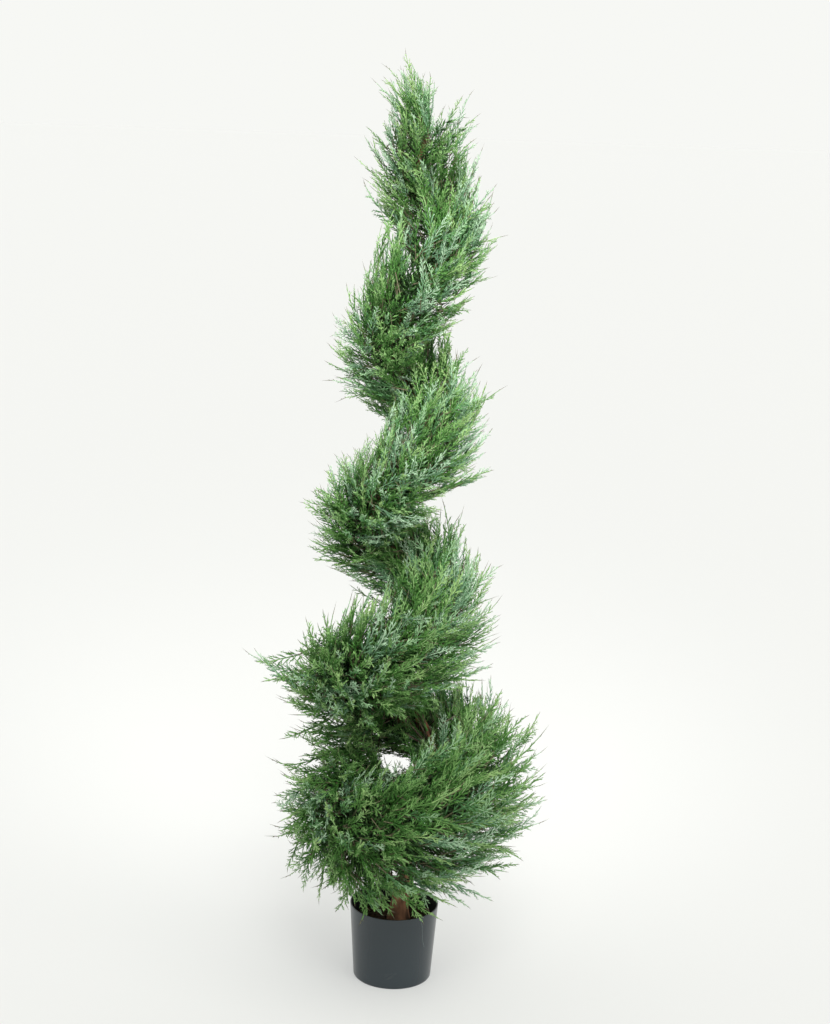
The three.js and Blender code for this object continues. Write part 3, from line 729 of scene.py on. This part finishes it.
def place_spray(shape, kind, root, direction, flat, length, width, curl, family):
    """A spray, bent by its curl and moved to within the margin of the CAD box."""
    points, triangles, looks = KINDS[kind]
    direction = unit(direction)
    flat = unit(flat - direction * (flat @ direction))
    normal = np.cross(direction, flat)
    along, across, above = points[:, :1], points[:, 1:2], points[:, 2:]
    sideways = width * (across * flat + above * normal)
    placed = root + length * (along * direction + sideways + along ** 2 * curl)
    placed += np.maximum(LOWEST - PROUD - placed.min(axis=0), 0)
    placed -= np.maximum(placed.max(axis=0) - HIGHEST - PROUD, 0)
    shape.add(placed, triangles, np.where(looks == STALK, 2 * len(LEAF_FAMILIES), looks + 2 * family))


def patch_family(turn, angle, inner):
    """The family of a spray. Sprays of one colour keep together in small patches. Sprays in the middle
    take dark colours as painted shade, and the tone leans to painted shade low down and at the back and
    to painted light at the top and the front.
    """
    if inner:
        # painted shade: sprays in the middle take the near-black family or the deep one
        return FAMILY_NAMES.index("shade" if rng.random() < PAINTED_SHADE_SHARE else "deep")
    tone = math.sin(9.1 * turn + 2.3 * math.sin(3 * angle)) + math.sin(23.7 * turn - 2 * angle)
    # The random tone is shifted by painted shade at the lowest tier, painted light at the top, and
    # painted light and shade from front to back.
    tone += rng.normal(0, TONE_SCATTER) + LOW_PAINTED_SHADE * (1 - smoothstep(turn, 0, LOW_PAINTED_SHADE_END))
    tone += TOP_PAINTED_LIGHT * smoothstep(turn, TOP_PAINTED_LIGHT_START, TOP_TURN)
    tone += FRONT_PAINTED_LIGHT * math.sin(2 * math.pi * (turn - FRONT_PAINTED_LIGHT_TURN))
    return FAMILY_NAMES.index(TONE_ORDER[int(np.searchsorted(TONE_EDGES, tone))])


def crosses_slot(root, tip):
    along = np.linspace(root, tip, SLOT_SAMPLES)
    clear = rng.uniform(*SLOT_EDGE)
    for start, end, radius in OPEN_SLOTS:
        start, axis = np.array(start), np.subtract(end, start)
        share = np.clip((along - start) @ axis / (axis @ axis), 0, 1)
        if np.linalg.norm(along - start - share[:, None] * axis, axis=1).min() < radius * clear:
            return True
    return False


def grow_spray(shape, twigs, turn, angle, inner, stretch=1):
    """One spray by its tip, which lies near the end of the foliage's reach or in the middle."""
    forward, outward, upward = stem_directions(turn)
    away = outward * math.cos(angle) + upward * math.sin(angle)
    sideways = np.cross(forward, away)
    lean = float(lean_at(turn))
    reach = float(reach_at(turn, angle)) * stretch
    reach *= 1 + FULL_REACH * math.exp(-(((turn - FULL_TURN) / FULL_RUN) ** 2))
    share = rng.uniform(*(INNER_REACH if inner else TIP_REACH))
    if not inner and rng.random() < LONG_TIPS:
        share = LONG_REACH
    tip = stem_point(turn) + reach * share * (away + forward * lean)
    # The stretched sprays of the stray tuft sweep less.
    sweep = SPRAY_SWEEP / stretch ** 4
    sweep = sweep * float(smoothstep(turn, START_TURN, START_TURN + SWEEP_START_SPREAD))
    slope = lean + sweep + rng.normal(0, SWEEP_SCATTER)
    droop = START_DROOP * (1 - smoothstep(turn, START_TURN, START_TURN + DROOP_RUN))
    direction = away + forward * slope + sideways * rng.normal(0, SIDE_SCATTER) - np.array([0, 0, droop])
    direction = unit(direction)
    least, most = LENGTH_SHARES
    length = rng.uniform(*SPRAY_LENGTHS) * min(most, max(least, reach / LENGTH_REACH))
    root = tip - direction * length
    if crosses_slot(root, tip):
        return
    flat = sideways + away * rng.normal(0, FLAT_SCATTER) + forward * rng.normal(0, FLAT_SCATTER)
    curl = forward * rng.normal(*CURL_FORWARD) + away * rng.normal(*CURL_AWAY)
    curl = curl + np.array([0, 0, rng.normal(*CURL_UP)])
    width = rng.uniform(*SPRAY_WIDTHS)
    kind = rng.integers(SPRAY_KINDS, SPRAY_KINDS + PLAIN_KINDS) if inner else rng.integers(SPRAY_KINDS)
    family = patch_family(turn, angle, inner)
    place_spray(shape, kind, root, direction, flat, length, width, curl, family)
    if rng.random() < TWIG_SHARE:
        base = stem_point(turn - TWIG_BACK)
        elbow = lerp(base, root, TWIG_ELBOW) + forward * TWIG_BOW
        add_tube(twigs, [base, elbow, root, root + direction * length * TWIG_OVERLAP], TWIG_RADII, 0)


def foliage_surface(turn, angle):
    """The point where foliage ends at a turn and an angle round the stem."""
    forward, outward, upward = stem_directions(turn)
    turn, angle = np.broadcast_arrays(turn, angle)
    away = outward * np.cos(angle)[..., None] + upward * np.sin(angle)[..., None]
    lean = lean_at(turn)[..., None]
    return stem_point(turn) + reach_at(turn, angle)[..., None] * (away + forward * lean)


def surface_area(turn, angle):
    """How much of the foliage's surface lies round a turn and an angle."""
    step = 0.01
    along = foliage_surface(turn + step, angle) - foliage_surface(turn - step, angle)
    around = foliage_surface(turn, angle + step) - foliage_surface(turn, angle - step)
    return np.linalg.norm(np.cross(along, around), axis=-1) / (4 * step * step)


def mass_at(turn):
    """The index of the foliage mass that covers a turn."""
    share = (turn - START_TURN) / (TOP_TURN - START_TURN)
    return np.minimum(np.floor(share * MASS_COUNT).astype(int), MASS_COUNT - 1)


def spray_places():
    """Turns and angles of all sprays, evenly over the foliage's surface, and the mass of each."""
    turn_samples = np.linspace(START_TURN, TOP_TURN, TURN_SAMPLES)
    angle_samples = np.linspace(0, 2 * np.pi, ANGLE_SAMPLES)
    densest = surface_area(*np.meshgrid(turn_samples, angle_samples)).max() * DENSE_SHARE
    index = np.arange(SPRAY_TOTAL * TRIES_PER_SPRAY)
    turn = lerp(START_TURN, TOP_TURN, (index * EVEN_STEPS[0]) % 1)
    angle = 2 * np.pi * ((index * EVEN_STEPS[1]) % 1)
    thick = lerp(START_DENSITY, 1, smoothstep(turn, START_TURN, START_TURN + START_DENSE_RUN))
    thick += FULL_DENSITY * np.exp(-(((turn - FULL_TURN) / FULL_RUN) ** 2))
    wanted = (surface_area(turn, angle) + densest * LEAST_DENSITY) * thick
    kept = rng.random(len(index)) * densest < wanted
    turn, angle = turn[kept][:SPRAY_TOTAL], angle[kept][:SPRAY_TOTAL]
    return turn, angle, mass_at(turn)


def end_directions(forward, lean, angle):
    across, aloft = square_to(forward)
    away = across * math.cos(angle) + aloft * math.sin(angle)
    return forward * math.cos(lean) + away * math.sin(lean), np.cross(forward, away)


def grow_plume(shape):
    """The upright plume at the top, whose outer sprays are shorter and lean away more."""
    golden = math.pi * (3 - math.sqrt(5))
    for i in range(PLUME_SPRAYS):
        share = (i + 0.5) / PLUME_SPRAYS
        lean = PLUME_SPREAD * math.sqrt(share) * rng.uniform(*PLUME_LEANS)
        direction, flat = end_directions(PLUME_DIRECTION, lean, i * golden)
        root = stem_point(TOP_TURN) + PLUME_DIRECTION * rng.uniform(*PLUME_ROOTS)
        root = root + direction * PLUME_ROOT_OUT
        length = PLUME_LENGTH * (1 - PLUME_OUTER_LOSS * share) * rng.uniform(*PLUME_LENGTH_SHARES)
        curl = np.array([PLUME_CURL, 0, rng.uniform(*PLUME_UPTURN)])
        kind = rng.integers(SPRAY_KINDS)
        family = patch_family(TOP_TURN, i * golden, False)
        place_spray(shape, kind, root, direction, flat, length, PLUME_WIDTH, curl, family)


def grow_strays(shape, twigs):
    """The tuft that stands out at the left of the second tier."""
    for i in range(STRAY_SPRAYS):
        share = (i + 0.5) / STRAY_SPRAYS
        turn = STRAY_TURN + rng.normal(0, STRAY_TURN_SCATTER) * (1 - share)
        angle = math.radians(STRAY_ANGLE + rng.normal(0, STRAY_ANGLE_SCATTER) * (1 - share))
        grow_spray(shape, twigs, turn, angle, False, lerp(1, STRAY_REACH, math.sqrt(share)))


def grow_fan():
    shape = Shape()
    for end in FAN_ENDS:
        base = stem_point(FAN_TURN)
        tip = base + np.array(end)
        elbow = lerp(base, tip, 0.5) - np.array([0, 0, FAN_SAG])
        add_tube(shape, [base, elbow, tip, tip + (tip - elbow) * 0.5], FAN_RADII, 0, sides=FAN_SIDES)
    make_piece("fan", shape, [FAN_BARK])


def grow_foliage():
    """A piece for each mass on the stem. Gives back the twigs of all of them."""
    twigs = Shape()
    turns, angles, masses = spray_places()
    for i in range(MASS_COUNT):
        shape = Shape()
        for turn, angle in zip(turns[masses == i], angles[masses == i]):
            grow_spray(shape, twigs, turn, angle, rng.random() < INNER_SHARE)
        if i == MASS_COUNT - 1:
            grow_plume(shape)
        if i == mass_at(STRAY_TURN):
            grow_strays(shape, twigs)
        number = f"{i + 1:02d}"
        make_piece(f"leaves_{number}", shape, LEAF_MATERIALS, [f"foliage_{number}"])
    return twigs


# ---- Trunk and boughs ----

TRUNK_SEED = 3
TRUNK_SIDES = 26
TRUNK_FOOT_RINGS = 120
TRUNK_RINGS = 420
TRUNK_STRIPS = 5
TRUNK_RELIEF = 0.12  # share of the radius
BOUGH_SEED = 20
BOUGH_SIDES = 10
BOUGH_RINGS = 30
BOUGH_STRIPS = 3
BOUGH_RELIEF = 0.14
BARK_WAVES = 6
BARK_TWIST = 0.02  # radians for each millimetre
BARK_SWAY = 0.9
BARK_SWAY_RUNS = (9, 5)  # millimetres, for the first wave and more for each of the next
BARK_SCALE = 1.6
BARK_MIDDLE = 0.55


def bark_relief(phases, strips, angles, travelled):
    """How far bark stands up round a ring: strips that twist and sway along the limb."""
    relief = np.zeros(len(angles))
    for k, (around, along) in enumerate(phases):
        turns = strips + k * 2
        sway = BARK_SWAY * np.sin(travelled / (BARK_SWAY_RUNS[0] + BARK_SWAY_RUNS[1] * k) + along)
        wave = np.sin(0.5 * turns * (angles + BARK_TWIST * travelled) + around + sway)
        relief += np.abs(wave) / (k + 1)
    return relief / BARK_SCALE - BARK_MIDDLE


def bark_limb(shape, points, radii, sides, seed, strips, depth):
    """A closed limb through points. Each ring takes its heading from the ring before."""
    phases = np.random.default_rng(seed).uniform(0, 2 * math.pi, (BARK_WAVES, 2))
    forward = unit(np.gradient(points, axis=0))
    across = np.array([1.0, 0, 0])
    travelled = np.concatenate([[0], np.cumsum(np.linalg.norm(np.diff(points, axis=0), axis=1))])
    angles = ring_angles(sides)
    rings = []
    for i, point in enumerate(points):
        across = unit(across - forward[i] * (across @ forward[i]))
        aloft = np.cross(forward[i], across)
        radius = radii[i] * (1 + depth * bark_relief(phases, strips, angles, travelled[i]))
        rings.append(ring_points(point, radius[:, None], across, aloft, angles))
    count = len(points)
    last = (count - 1) * sides
    j = np.arange(sides)
    k = (j + 1) % sides
    start = np.stack([k, j, np.full(sides, count * sides)], -1)
    end = np.stack([last + j, last + k, np.full(sides, count * sides + 1)], -1)
    triangles = np.concatenate([band_triangles(count, sides), start, end])
    shape.add(np.concatenate([*rings, [points[0]], [points[-1]]]), triangles, 0)


def make_trunk():
    foot_turns = np.linspace(FOOT_TURN, 0, TRUNK_FOOT_RINGS, endpoint=False)
    turns = np.concatenate([foot_turns, np.linspace(0, TOP_TURN, TRUNK_RINGS)])
    points = stem_point(turns)
    radii = trunk_radius(turns) + FLARE * np.exp(-(points[:, 2] - FOOT_HEIGHT) / FLARE_HEIGHT)
    shape = Shape()
    bark_limb(shape, points, radii, TRUNK_SIDES, TRUNK_SEED, TRUNK_STRIPS, TRUNK_RELIEF)
    make_piece("trunk_bark", shape, [BARK], ["trunk"])


def bough_points(step, count):
    """A bough rises from the stem and then sweeps forward."""
    turn = turn_of(step + 0.5)
    forward, outward, upward = stem_directions(turn)
    facing = unit(upward - BOUGH_INWARD * outward)
    start = stem_point(turn) + facing * trunk_radius(turn) * BOUGH_SUNK
    bend = start + facing * BOUGH_LENGTH * BOUGH_RISE
    end = bend + facing * BOUGH_LENGTH * BOUGH_TOP_RISE + forward * BOUGH_LENGTH * BOUGH_SWEEP
    share = np.linspace(0, 1, count)[:, None]
    return (1 - share) ** 2 * start + 2 * share * (1 - share) * bend + share ** 2 * end


def grow_bough_leaves(end, forward):
    leaves = Shape()
    add_tube(leaves, [end + forward * way for way in BOUGH_TIP_STATIONS], BOUGH_TIP_RADII, 0)
    first, stretch = BOUGH_SPRAY_ROOTS
    for j in range(BOUGH_SPRAYS):
        lean = BOUGH_SPRAY_LEAN * min(j / 2, 1)
        direction, flat = end_directions(forward, lean, j * BOUGH_SPRAY_TURN)
        root = end + forward * (first + stretch * ((j * EVEN_STEPS[0]) % 1))
        place_spray(leaves, rng.integers(SPRAY_KINDS), root, direction, flat, BOUGH_SPRAY_LENGTH,
                    BOUGH_SPRAY_WIDTH, np.zeros(3), FAMILY_NAMES.index("mid"))
    return leaves


def make_boughs():
    for i, step in enumerate(BOUGH_STEPS):
        points = bough_points(step, BOUGH_RINGS)
        radii = np.linspace(*BOUGH_RADII, BOUGH_RINGS)
        shape = Shape()
        bark_limb(shape, points, radii, BOUGH_SIDES, BOUGH_SEED + i, BOUGH_STRIPS, BOUGH_RELIEF)
        make_piece(f"bough_bark_{i + 1}", shape, [BARK], [f"bough_{i + 1}"])
        leaves = grow_bough_leaves(points[-1], unit(points[-1] - points[-2]))
        make_piece(f"leaves_bough_{i + 1}", leaves, LEAF_MATERIALS, [f"foliage_bough_{i + 1}"])


# ---- Pot and fill ----

POT_SIDES = 128
POT_INSIDE_SHARE = 0.8  # share of the wall past which a face is on the inside and gets the painted shade colour
POT_INSIDE_LOWEST = 0.9  # share of the floor's height
TO_FRONT = 90  # degrees from +X back to the front

SCRATCH_HEIGHTS = (148, 75)
SCRATCH_ANGLES = (37, 50)  # degrees to the right of the front
SCRATCH_SWAY = 1.2
SCRATCH_SWAY_STEPS = 7
SCRATCH_POINTS = 9
SCRATCH_RADIUS = 0.4

SCUFF_SEED = 3
SCUFF_ANGLE = -5
SCUFF_HEIGHT = 26
SCUFF_LINES = 9
SCUFF_RADIUS = 0.3
SCUFF_HEIGHT_SHIFT = 8
SCUFF_ANGLE_SHIFT = 7
SCUFF_POINTS = 5
SCUFF_RISE = 7
SCUFF_TURN = 9
LINE_SUNK = 0.4  # share of a thin line's radius that is sunk into the pot

FILL_SEED = 8
FILL_SIDES = 96
FILL_RINGS = 30
FILL_INSET = 1.2  # gap between the fill and the wall at the top
FILL_LOW_INSET = 1
FILL_UNDERSIDE = POT_FLOOR + 0.6
FILL_LOW_HEIGHTS = (90, 40, FILL_UNDERSIDE)
CRUMB_HEIGHT = 0.8
CALM_RINGS = 8  # round the stem, where the lumps fade out
STRANDS = 700
STRAND_REACH = 0.94
STRAND_LENGTHS = (10, 34)
STRAND_LIFTS = (0, 2.5)
STRAND_POINTS = 5
STRAND_BOW = 0.5
STRAND_STEPS_UP = (-1.2, 1.6)
STRAND_CLEAR = 2  # from the wall
STRAND_RADIUS = 0.35


def lathe(shape, profile, sides):
    profile = np.asarray(profile, float)
    angles = ring_angles(sides)
    rings = np.stack([
        profile[:, :1] * np.cos(angles),
        profile[:, :1] * np.sin(angles),
        np.repeat(profile[:, 1:], sides, axis=1),
    ], -1)
    shape.add(rings.reshape(-1, 3), band_triangles(len(profile), sides), 0)


def outer_radius(height):
    return lerp(POT_BASE_RADIUS, POT_RIM_RADIUS, height / POT_HEIGHT)


def pot_plastic():
    material = new_material("pot_plastic", 0x2F373A, roughness=0.36, specular=0.6)
    smudge = noise_node(material, 6, 1)
    colour_by(material, smudge.outputs["Fac"], [(0, linear(0x172328)), (1, linear(0x273238))])
    grain = noise_node(material, 700, 3)
    roughen_by(material, grain.outputs["Fac"], 0.2, 0.3)
    emboss_by(material, grain.outputs["Fac"], 0.08, 0.0005)
    return material


def pot_profile():
    """From the middle of the underside out, up the wall, over the rim and down to the floor."""
    base, rim = POT_BASE_RADIUS, POT_RIM_RADIUS
    profile = [(0, 0.6), (base - 7, 0.6), (base - 5, 0), (base - 1.6, 0)]
    profile += [(outer_radius(0) - 0.5, 0.5), (outer_radius(1.6), 1.6)]
    profile += [(outer_radius(h), h) for h in (6, 20, 40, 70, 100, 130, POT_HEIGHT - 3, POT_HEIGHT - 1)]
    profile += [(rim - 0.3, POT_HEIGHT - 0.3), (rim - 1.1, POT_HEIGHT)]
    profile += [(rim - POT_WALL + 0.3, POT_HEIGHT - 0.3)]
    profile += [(outer_radius(h) - POT_WALL, h) for h in (POT_HEIGHT - 1.2, 130, 100, 60, 20, 5)]
    profile += [(outer_radius(POT_FLOOR) - POT_WALL - 2, POT_FLOOR), (0, POT_FLOOR)]
    return profile


def skin_point(height, degrees, line_radius):
    """The middle of a thin line on the pot's outside. Degrees count from +X."""
    angle = math.radians(degrees)
    radius = outer_radius(height) - line_radius * LINE_SUNK
    return np.array([radius * math.cos(angle), radius * math.sin(angle), height])


def add_scratch(shape, look):
    line = []
    for share in np.linspace(0, 1, SCRATCH_POINTS):
        sway = SCRATCH_SWAY * math.sin(SCRATCH_SWAY_STEPS * share)
        degrees = lerp(*SCRATCH_ANGLES, share) - TO_FRONT + sway
        line.append(skin_point(lerp(*SCRATCH_HEIGHTS, share), degrees, SCRATCH_RADIUS))
    add_tube(shape, line, [SCRATCH_RADIUS] * len(line), look)


def add_scuffs(shape, look):
    """A patch of short faint lines low on the front."""
    scuff_rng = np.random.default_rng(SCUFF_SEED)
    for _ in range(SCUFF_LINES):
        low = scuff_rng.uniform(-SCUFF_HEIGHT_SHIFT, SCUFF_HEIGHT_SHIFT)
        turned = scuff_rng.uniform(-SCUFF_ANGLE_SHIFT, SCUFF_ANGLE_SHIFT)
        line = []
        for share in np.linspace(0, 1, SCUFF_POINTS):
            degrees = SCUFF_ANGLE + turned + SCUFF_TURN * share ** 2 - TO_FRONT
            line.append(skin_point(SCUFF_HEIGHT + low + SCUFF_RISE * share, degrees, SCUFF_RADIUS))
        add_tube(shape, line, [SCUFF_RADIUS] * len(line), look)


def make_pot():
    shape = Shape()
    lathe(shape, pot_profile(), POT_SIDES)
    points, triangles, _ = shape.arrays()
    # Faces on the inside get their own darker colour: painted shade for the shaded inside of the pot.
    middles = points[triangles].mean(axis=1)
    inner = outer_radius(middles[:, 2]) - POT_WALL * POT_INSIDE_SHARE
    within = np.hypot(middles[:, 0], middles[:, 1]) < inner
    shape.looks = [(within & (middles[:, 2] > POT_FLOOR * POT_INSIDE_LOWEST)).astype(int)]
    plastic = pot_plastic()
    # near-black plastic for the inside: painted shade
    inside = new_material("pot_inside_painted_shade", 0x0F1213, roughness=0.6, specular=0.3)
    scratch = new_material("pot_scratch", 0x7E8888, roughness=0.5, specular=0.4)
    scuff = new_material("pot_scuff", 0x5D6664, roughness=0.6, specular=0.3)
    materials = [plastic, inside, scratch, scuff]
    add_scratch(shape, materials.index(scratch))
    add_scuffs(shape, materials.index(scuff))
    make_piece("pot_shell", shape, materials, ["pot"])


def fibre_material():
    # The fibre's browns are darkened towards black: partly its own dark colour, partly painted shade for
    # the shaded inside of the pot.
    material = new_material("pot_fibre", 0x33241A, roughness=0.95, specular=0.2)
    crumbs = noise_node(material, 160, 5)
    colour_by(material, crumbs.outputs["Fac"], [(0.3, linear(0x120B07)), (0.7, linear(0x38261A))])
    emboss_by(material, crumbs.outputs["Fac"], 0.9, 0.003)
    return material


def fill_dip(radius, inner):
    return FILL_DIP * max(0, (radius - FILL_PAD_RADIUS) / (inner - FILL_PAD_RADIUS))


def fill_lumps(x, y):
    lumps = 1.6 * math.sin(x / 7.1 + 2 * math.sin(y / 9.3))
    return lumps + 1.3 * math.sin(y / 5.7 + 1.7 * math.sin(x / 6.1))


def add_fill_ground(shape, inner, fill_rng):
    """The closed body of the fill, with a lumpy top."""
    angles = ring_angles(FILL_SIDES)
    points = [(0, 0, FILL_HEIGHT)]
    for i in range(1, FILL_RINGS + 1):
        radius = inner * i / FILL_RINGS
        dip = fill_dip(radius, inner)
        for angle in angles:
            x, y = radius * math.cos(angle), radius * math.sin(angle)
            rough = fill_lumps(x, y) + fill_rng.uniform(-CRUMB_HEIGHT, CRUMB_HEIGHT)
            points.append((x, y, FILL_HEIGHT - dip + rough * min(1, i / CALM_RINGS)))
    for height in FILL_LOW_HEIGHTS:
        radius = outer_radius(height) - POT_WALL - FILL_LOW_INSET
        points += [(radius * math.cos(a), radius * math.sin(a), height) for a in angles]
    points.append((0, 0, FILL_UNDERSIDE))
    triangles = [(0, 1 + j, 1 + (j + 1) % FILL_SIDES) for j in range(FILL_SIDES)]
    bands = FILL_RINGS + len(FILL_LOW_HEIGHTS) - 1
    for i in range(bands):
        for j in range(FILL_SIDES):
            a, b = 1 + i * FILL_SIDES + j, 1 + i * FILL_SIDES + (j + 1) % FILL_SIDES
            c, d = b + FILL_SIDES, a + FILL_SIDES
            triangles += [(a, d, c), (a, c, b)]
    last = 1 + bands * FILL_SIDES
    triangles += [(last + j, len(points) - 1, last + (j + 1) % FILL_SIDES) for j in range(FILL_SIDES)]
    shape.add(points, triangles, 0)


def add_strand(shape, inner, fill_rng):
    """A loose fibre on the fill. The part that would reach the wall is left out."""
    radius = inner * math.sqrt(fill_rng.random()) * STRAND_REACH
    angle, heading = fill_rng.uniform(0, 2 * math.pi, 2)
    step = fill_rng.uniform(*STRAND_LENGTHS)
    x, y = radius * math.cos(angle), radius * math.sin(angle)
    z = FILL_HEIGHT - fill_dip(radius, inner) + fill_rng.uniform(*STRAND_LIFTS)
    strand = []
    for _ in range(STRAND_POINTS):
        bow = heading + fill_rng.uniform(-STRAND_BOW, STRAND_BOW)
        if math.hypot(x, y) < inner - STRAND_CLEAR:
            strand.append(np.array([x, y, z]))
        x += math.cos(bow) * step / STRAND_POINTS
        y += math.sin(bow) * step / STRAND_POINTS
        z += fill_rng.uniform(*STRAND_STEPS_UP)
    if len(strand) > 2:
        add_tube(shape, strand, [STRAND_RADIUS] * len(strand), 1)


def make_fill():
    fibre = fibre_material()
    # The strands' brown is darkened the same way: partly its own colour, partly painted shade.
    strand = new_material("pot_fibre_strand", 0x46311F, roughness=0.9, specular=0.2)
    fill_rng = np.random.default_rng(FILL_SEED)
    inner = outer_radius(FILL_HEIGHT) - POT_WALL - FILL_INSET
    shape = Shape()
    add_fill_ground(shape, inner, fill_rng)
    for _ in range(STRANDS):
        add_strand(shape, inner, fill_rng)
    make_piece("pot_fill_fibre", shape, [fibre, strand], ["pot_fill"])


# ---- Stage ----

FLOOR_SIZE = 60
FLOOR_COLOUR = (0.735, 0.739, 0.715)
FLOOR_GLOW = 0.36  # share of the floor's light that is its own, which keeps the shadow on it faint
FLOOR_GLOW_COLOUR = (0.874, 0.882, 0.897)
WORLD_COLOUR = (0.93, 0.937, 0.908)

KEY_POWER = 1.29
KEY_COLOUR = (1, 0.985, 0.96)
KEY_WIDTH = 60  # degrees
KEY_TILT = 38
KEY_TURN = 31
SOFTBOX_POWER = 4.3
SOFTBOX_SIZE = 0.9
SOFTBOX_SPREAD = 42
SOFTBOX_PLACE = (0.1, -1.3, 2.4)
SOFTBOX_AIM = (0, 0, 1.3)

# The camera was fitted to the photo's perspective.
CAMERA_PLACE = (0.0145, -3.56, 1.755)
CAMERA_PITCH = 12.7  # degrees downward
CAMERA_ROLL = 2
CAMERA_FIELD = 30
SENSOR_WIDTH = 36


def make_floor():
    size = FLOOR_SIZE
    corners = [(-size, -size, 0), (size, -size, 0), (size, size, 0), (-size, size, 0)]
    mesh = bpy.data.meshes.new("floor")
    mesh.from_pydata(corners, [], [(0, 1, 2, 3)])
    floor = bpy.data.objects.new("floor", mesh)
    bpy.context.scene.collection.objects.link(floor)
    material = new_material("floor", 0xFFFFFF, roughness=0.7, specular=0.1)
    base = [value * (1 - FLOOR_GLOW) for value in FLOOR_COLOUR]
    inputs = shader_inputs(material)
    inputs["Base Color"].default_value = (*base, 1)
    inputs["Emission Color"].default_value = (*FLOOR_GLOW_COLOUR, 1)
    inputs["Emission Strength"].default_value = FLOOR_GLOW
    mesh.materials.append(material)


def make_world():
    world = bpy.data.worlds.new("studio")
    bpy.context.scene.world = world
    world.use_nodes = True
    background = world.node_tree.nodes["Background"]
    background.inputs["Color"].default_value = (*WORLD_COLOUR, 1)
    background.inputs["Strength"].default_value = 1


def make_key():
    lamp = bpy.data.lights.new("key", "SUN")
    lamp.energy = KEY_POWER
    lamp.angle = math.radians(KEY_WIDTH)
    lamp.color = KEY_COLOUR
    key = bpy.data.objects.new("key", lamp)
    key.rotation_euler = (math.radians(KEY_TILT), 0, math.radians(KEY_TURN))
    bpy.context.scene.collection.objects.link(key)


def make_softbox():
    lamp = bpy.data.lights.new("softbox", "AREA")
    lamp.energy = SOFTBOX_POWER
    lamp.size = SOFTBOX_SIZE
    lamp.spread = math.radians(SOFTBOX_SPREAD)
    softbox = bpy.data.objects.new("softbox", lamp)
    softbox.location = SOFTBOX_PLACE
    aim = Vector(SOFTBOX_AIM) - softbox.location
    softbox.rotation_euler = aim.to_track_quat("-Z", "Y").to_euler()
    bpy.context.scene.collection.objects.link(softbox)


def make_camera():
    data = bpy.data.cameras.new("camera")
    data.sensor_width = SENSOR_WIDTH
    data.lens = SENSOR_WIDTH / 2 / math.tan(math.radians(CAMERA_FIELD / 2))
    data.clip_end = 200
    camera = bpy.data.objects.new("camera", data)
    camera.matrix_world = (
        Matrix.Translation(CAMERA_PLACE)
        @ Matrix.Rotation(math.radians(90 - CAMERA_PITCH), 4, "X")
        @ Matrix.Rotation(math.radians(CAMERA_ROLL), 4, "Z")
    )
    bpy.context.scene.collection.objects.link(camera)
    bpy.context.scene.camera = camera


def make_stage():
    make_camera()
    make_floor()
    make_world()
    make_key()
    make_softbox()
    bpy.context.scene.view_settings.view_transform = "Standard"
    bpy.context.scene.view_settings.look = "None"


make_stage()
make_pot()
make_fill()
make_trunk()
make_boughs()
grow_fan()
twig_shape = grow_foliage()
make_piece("twigs", twig_shape, [TWIG])
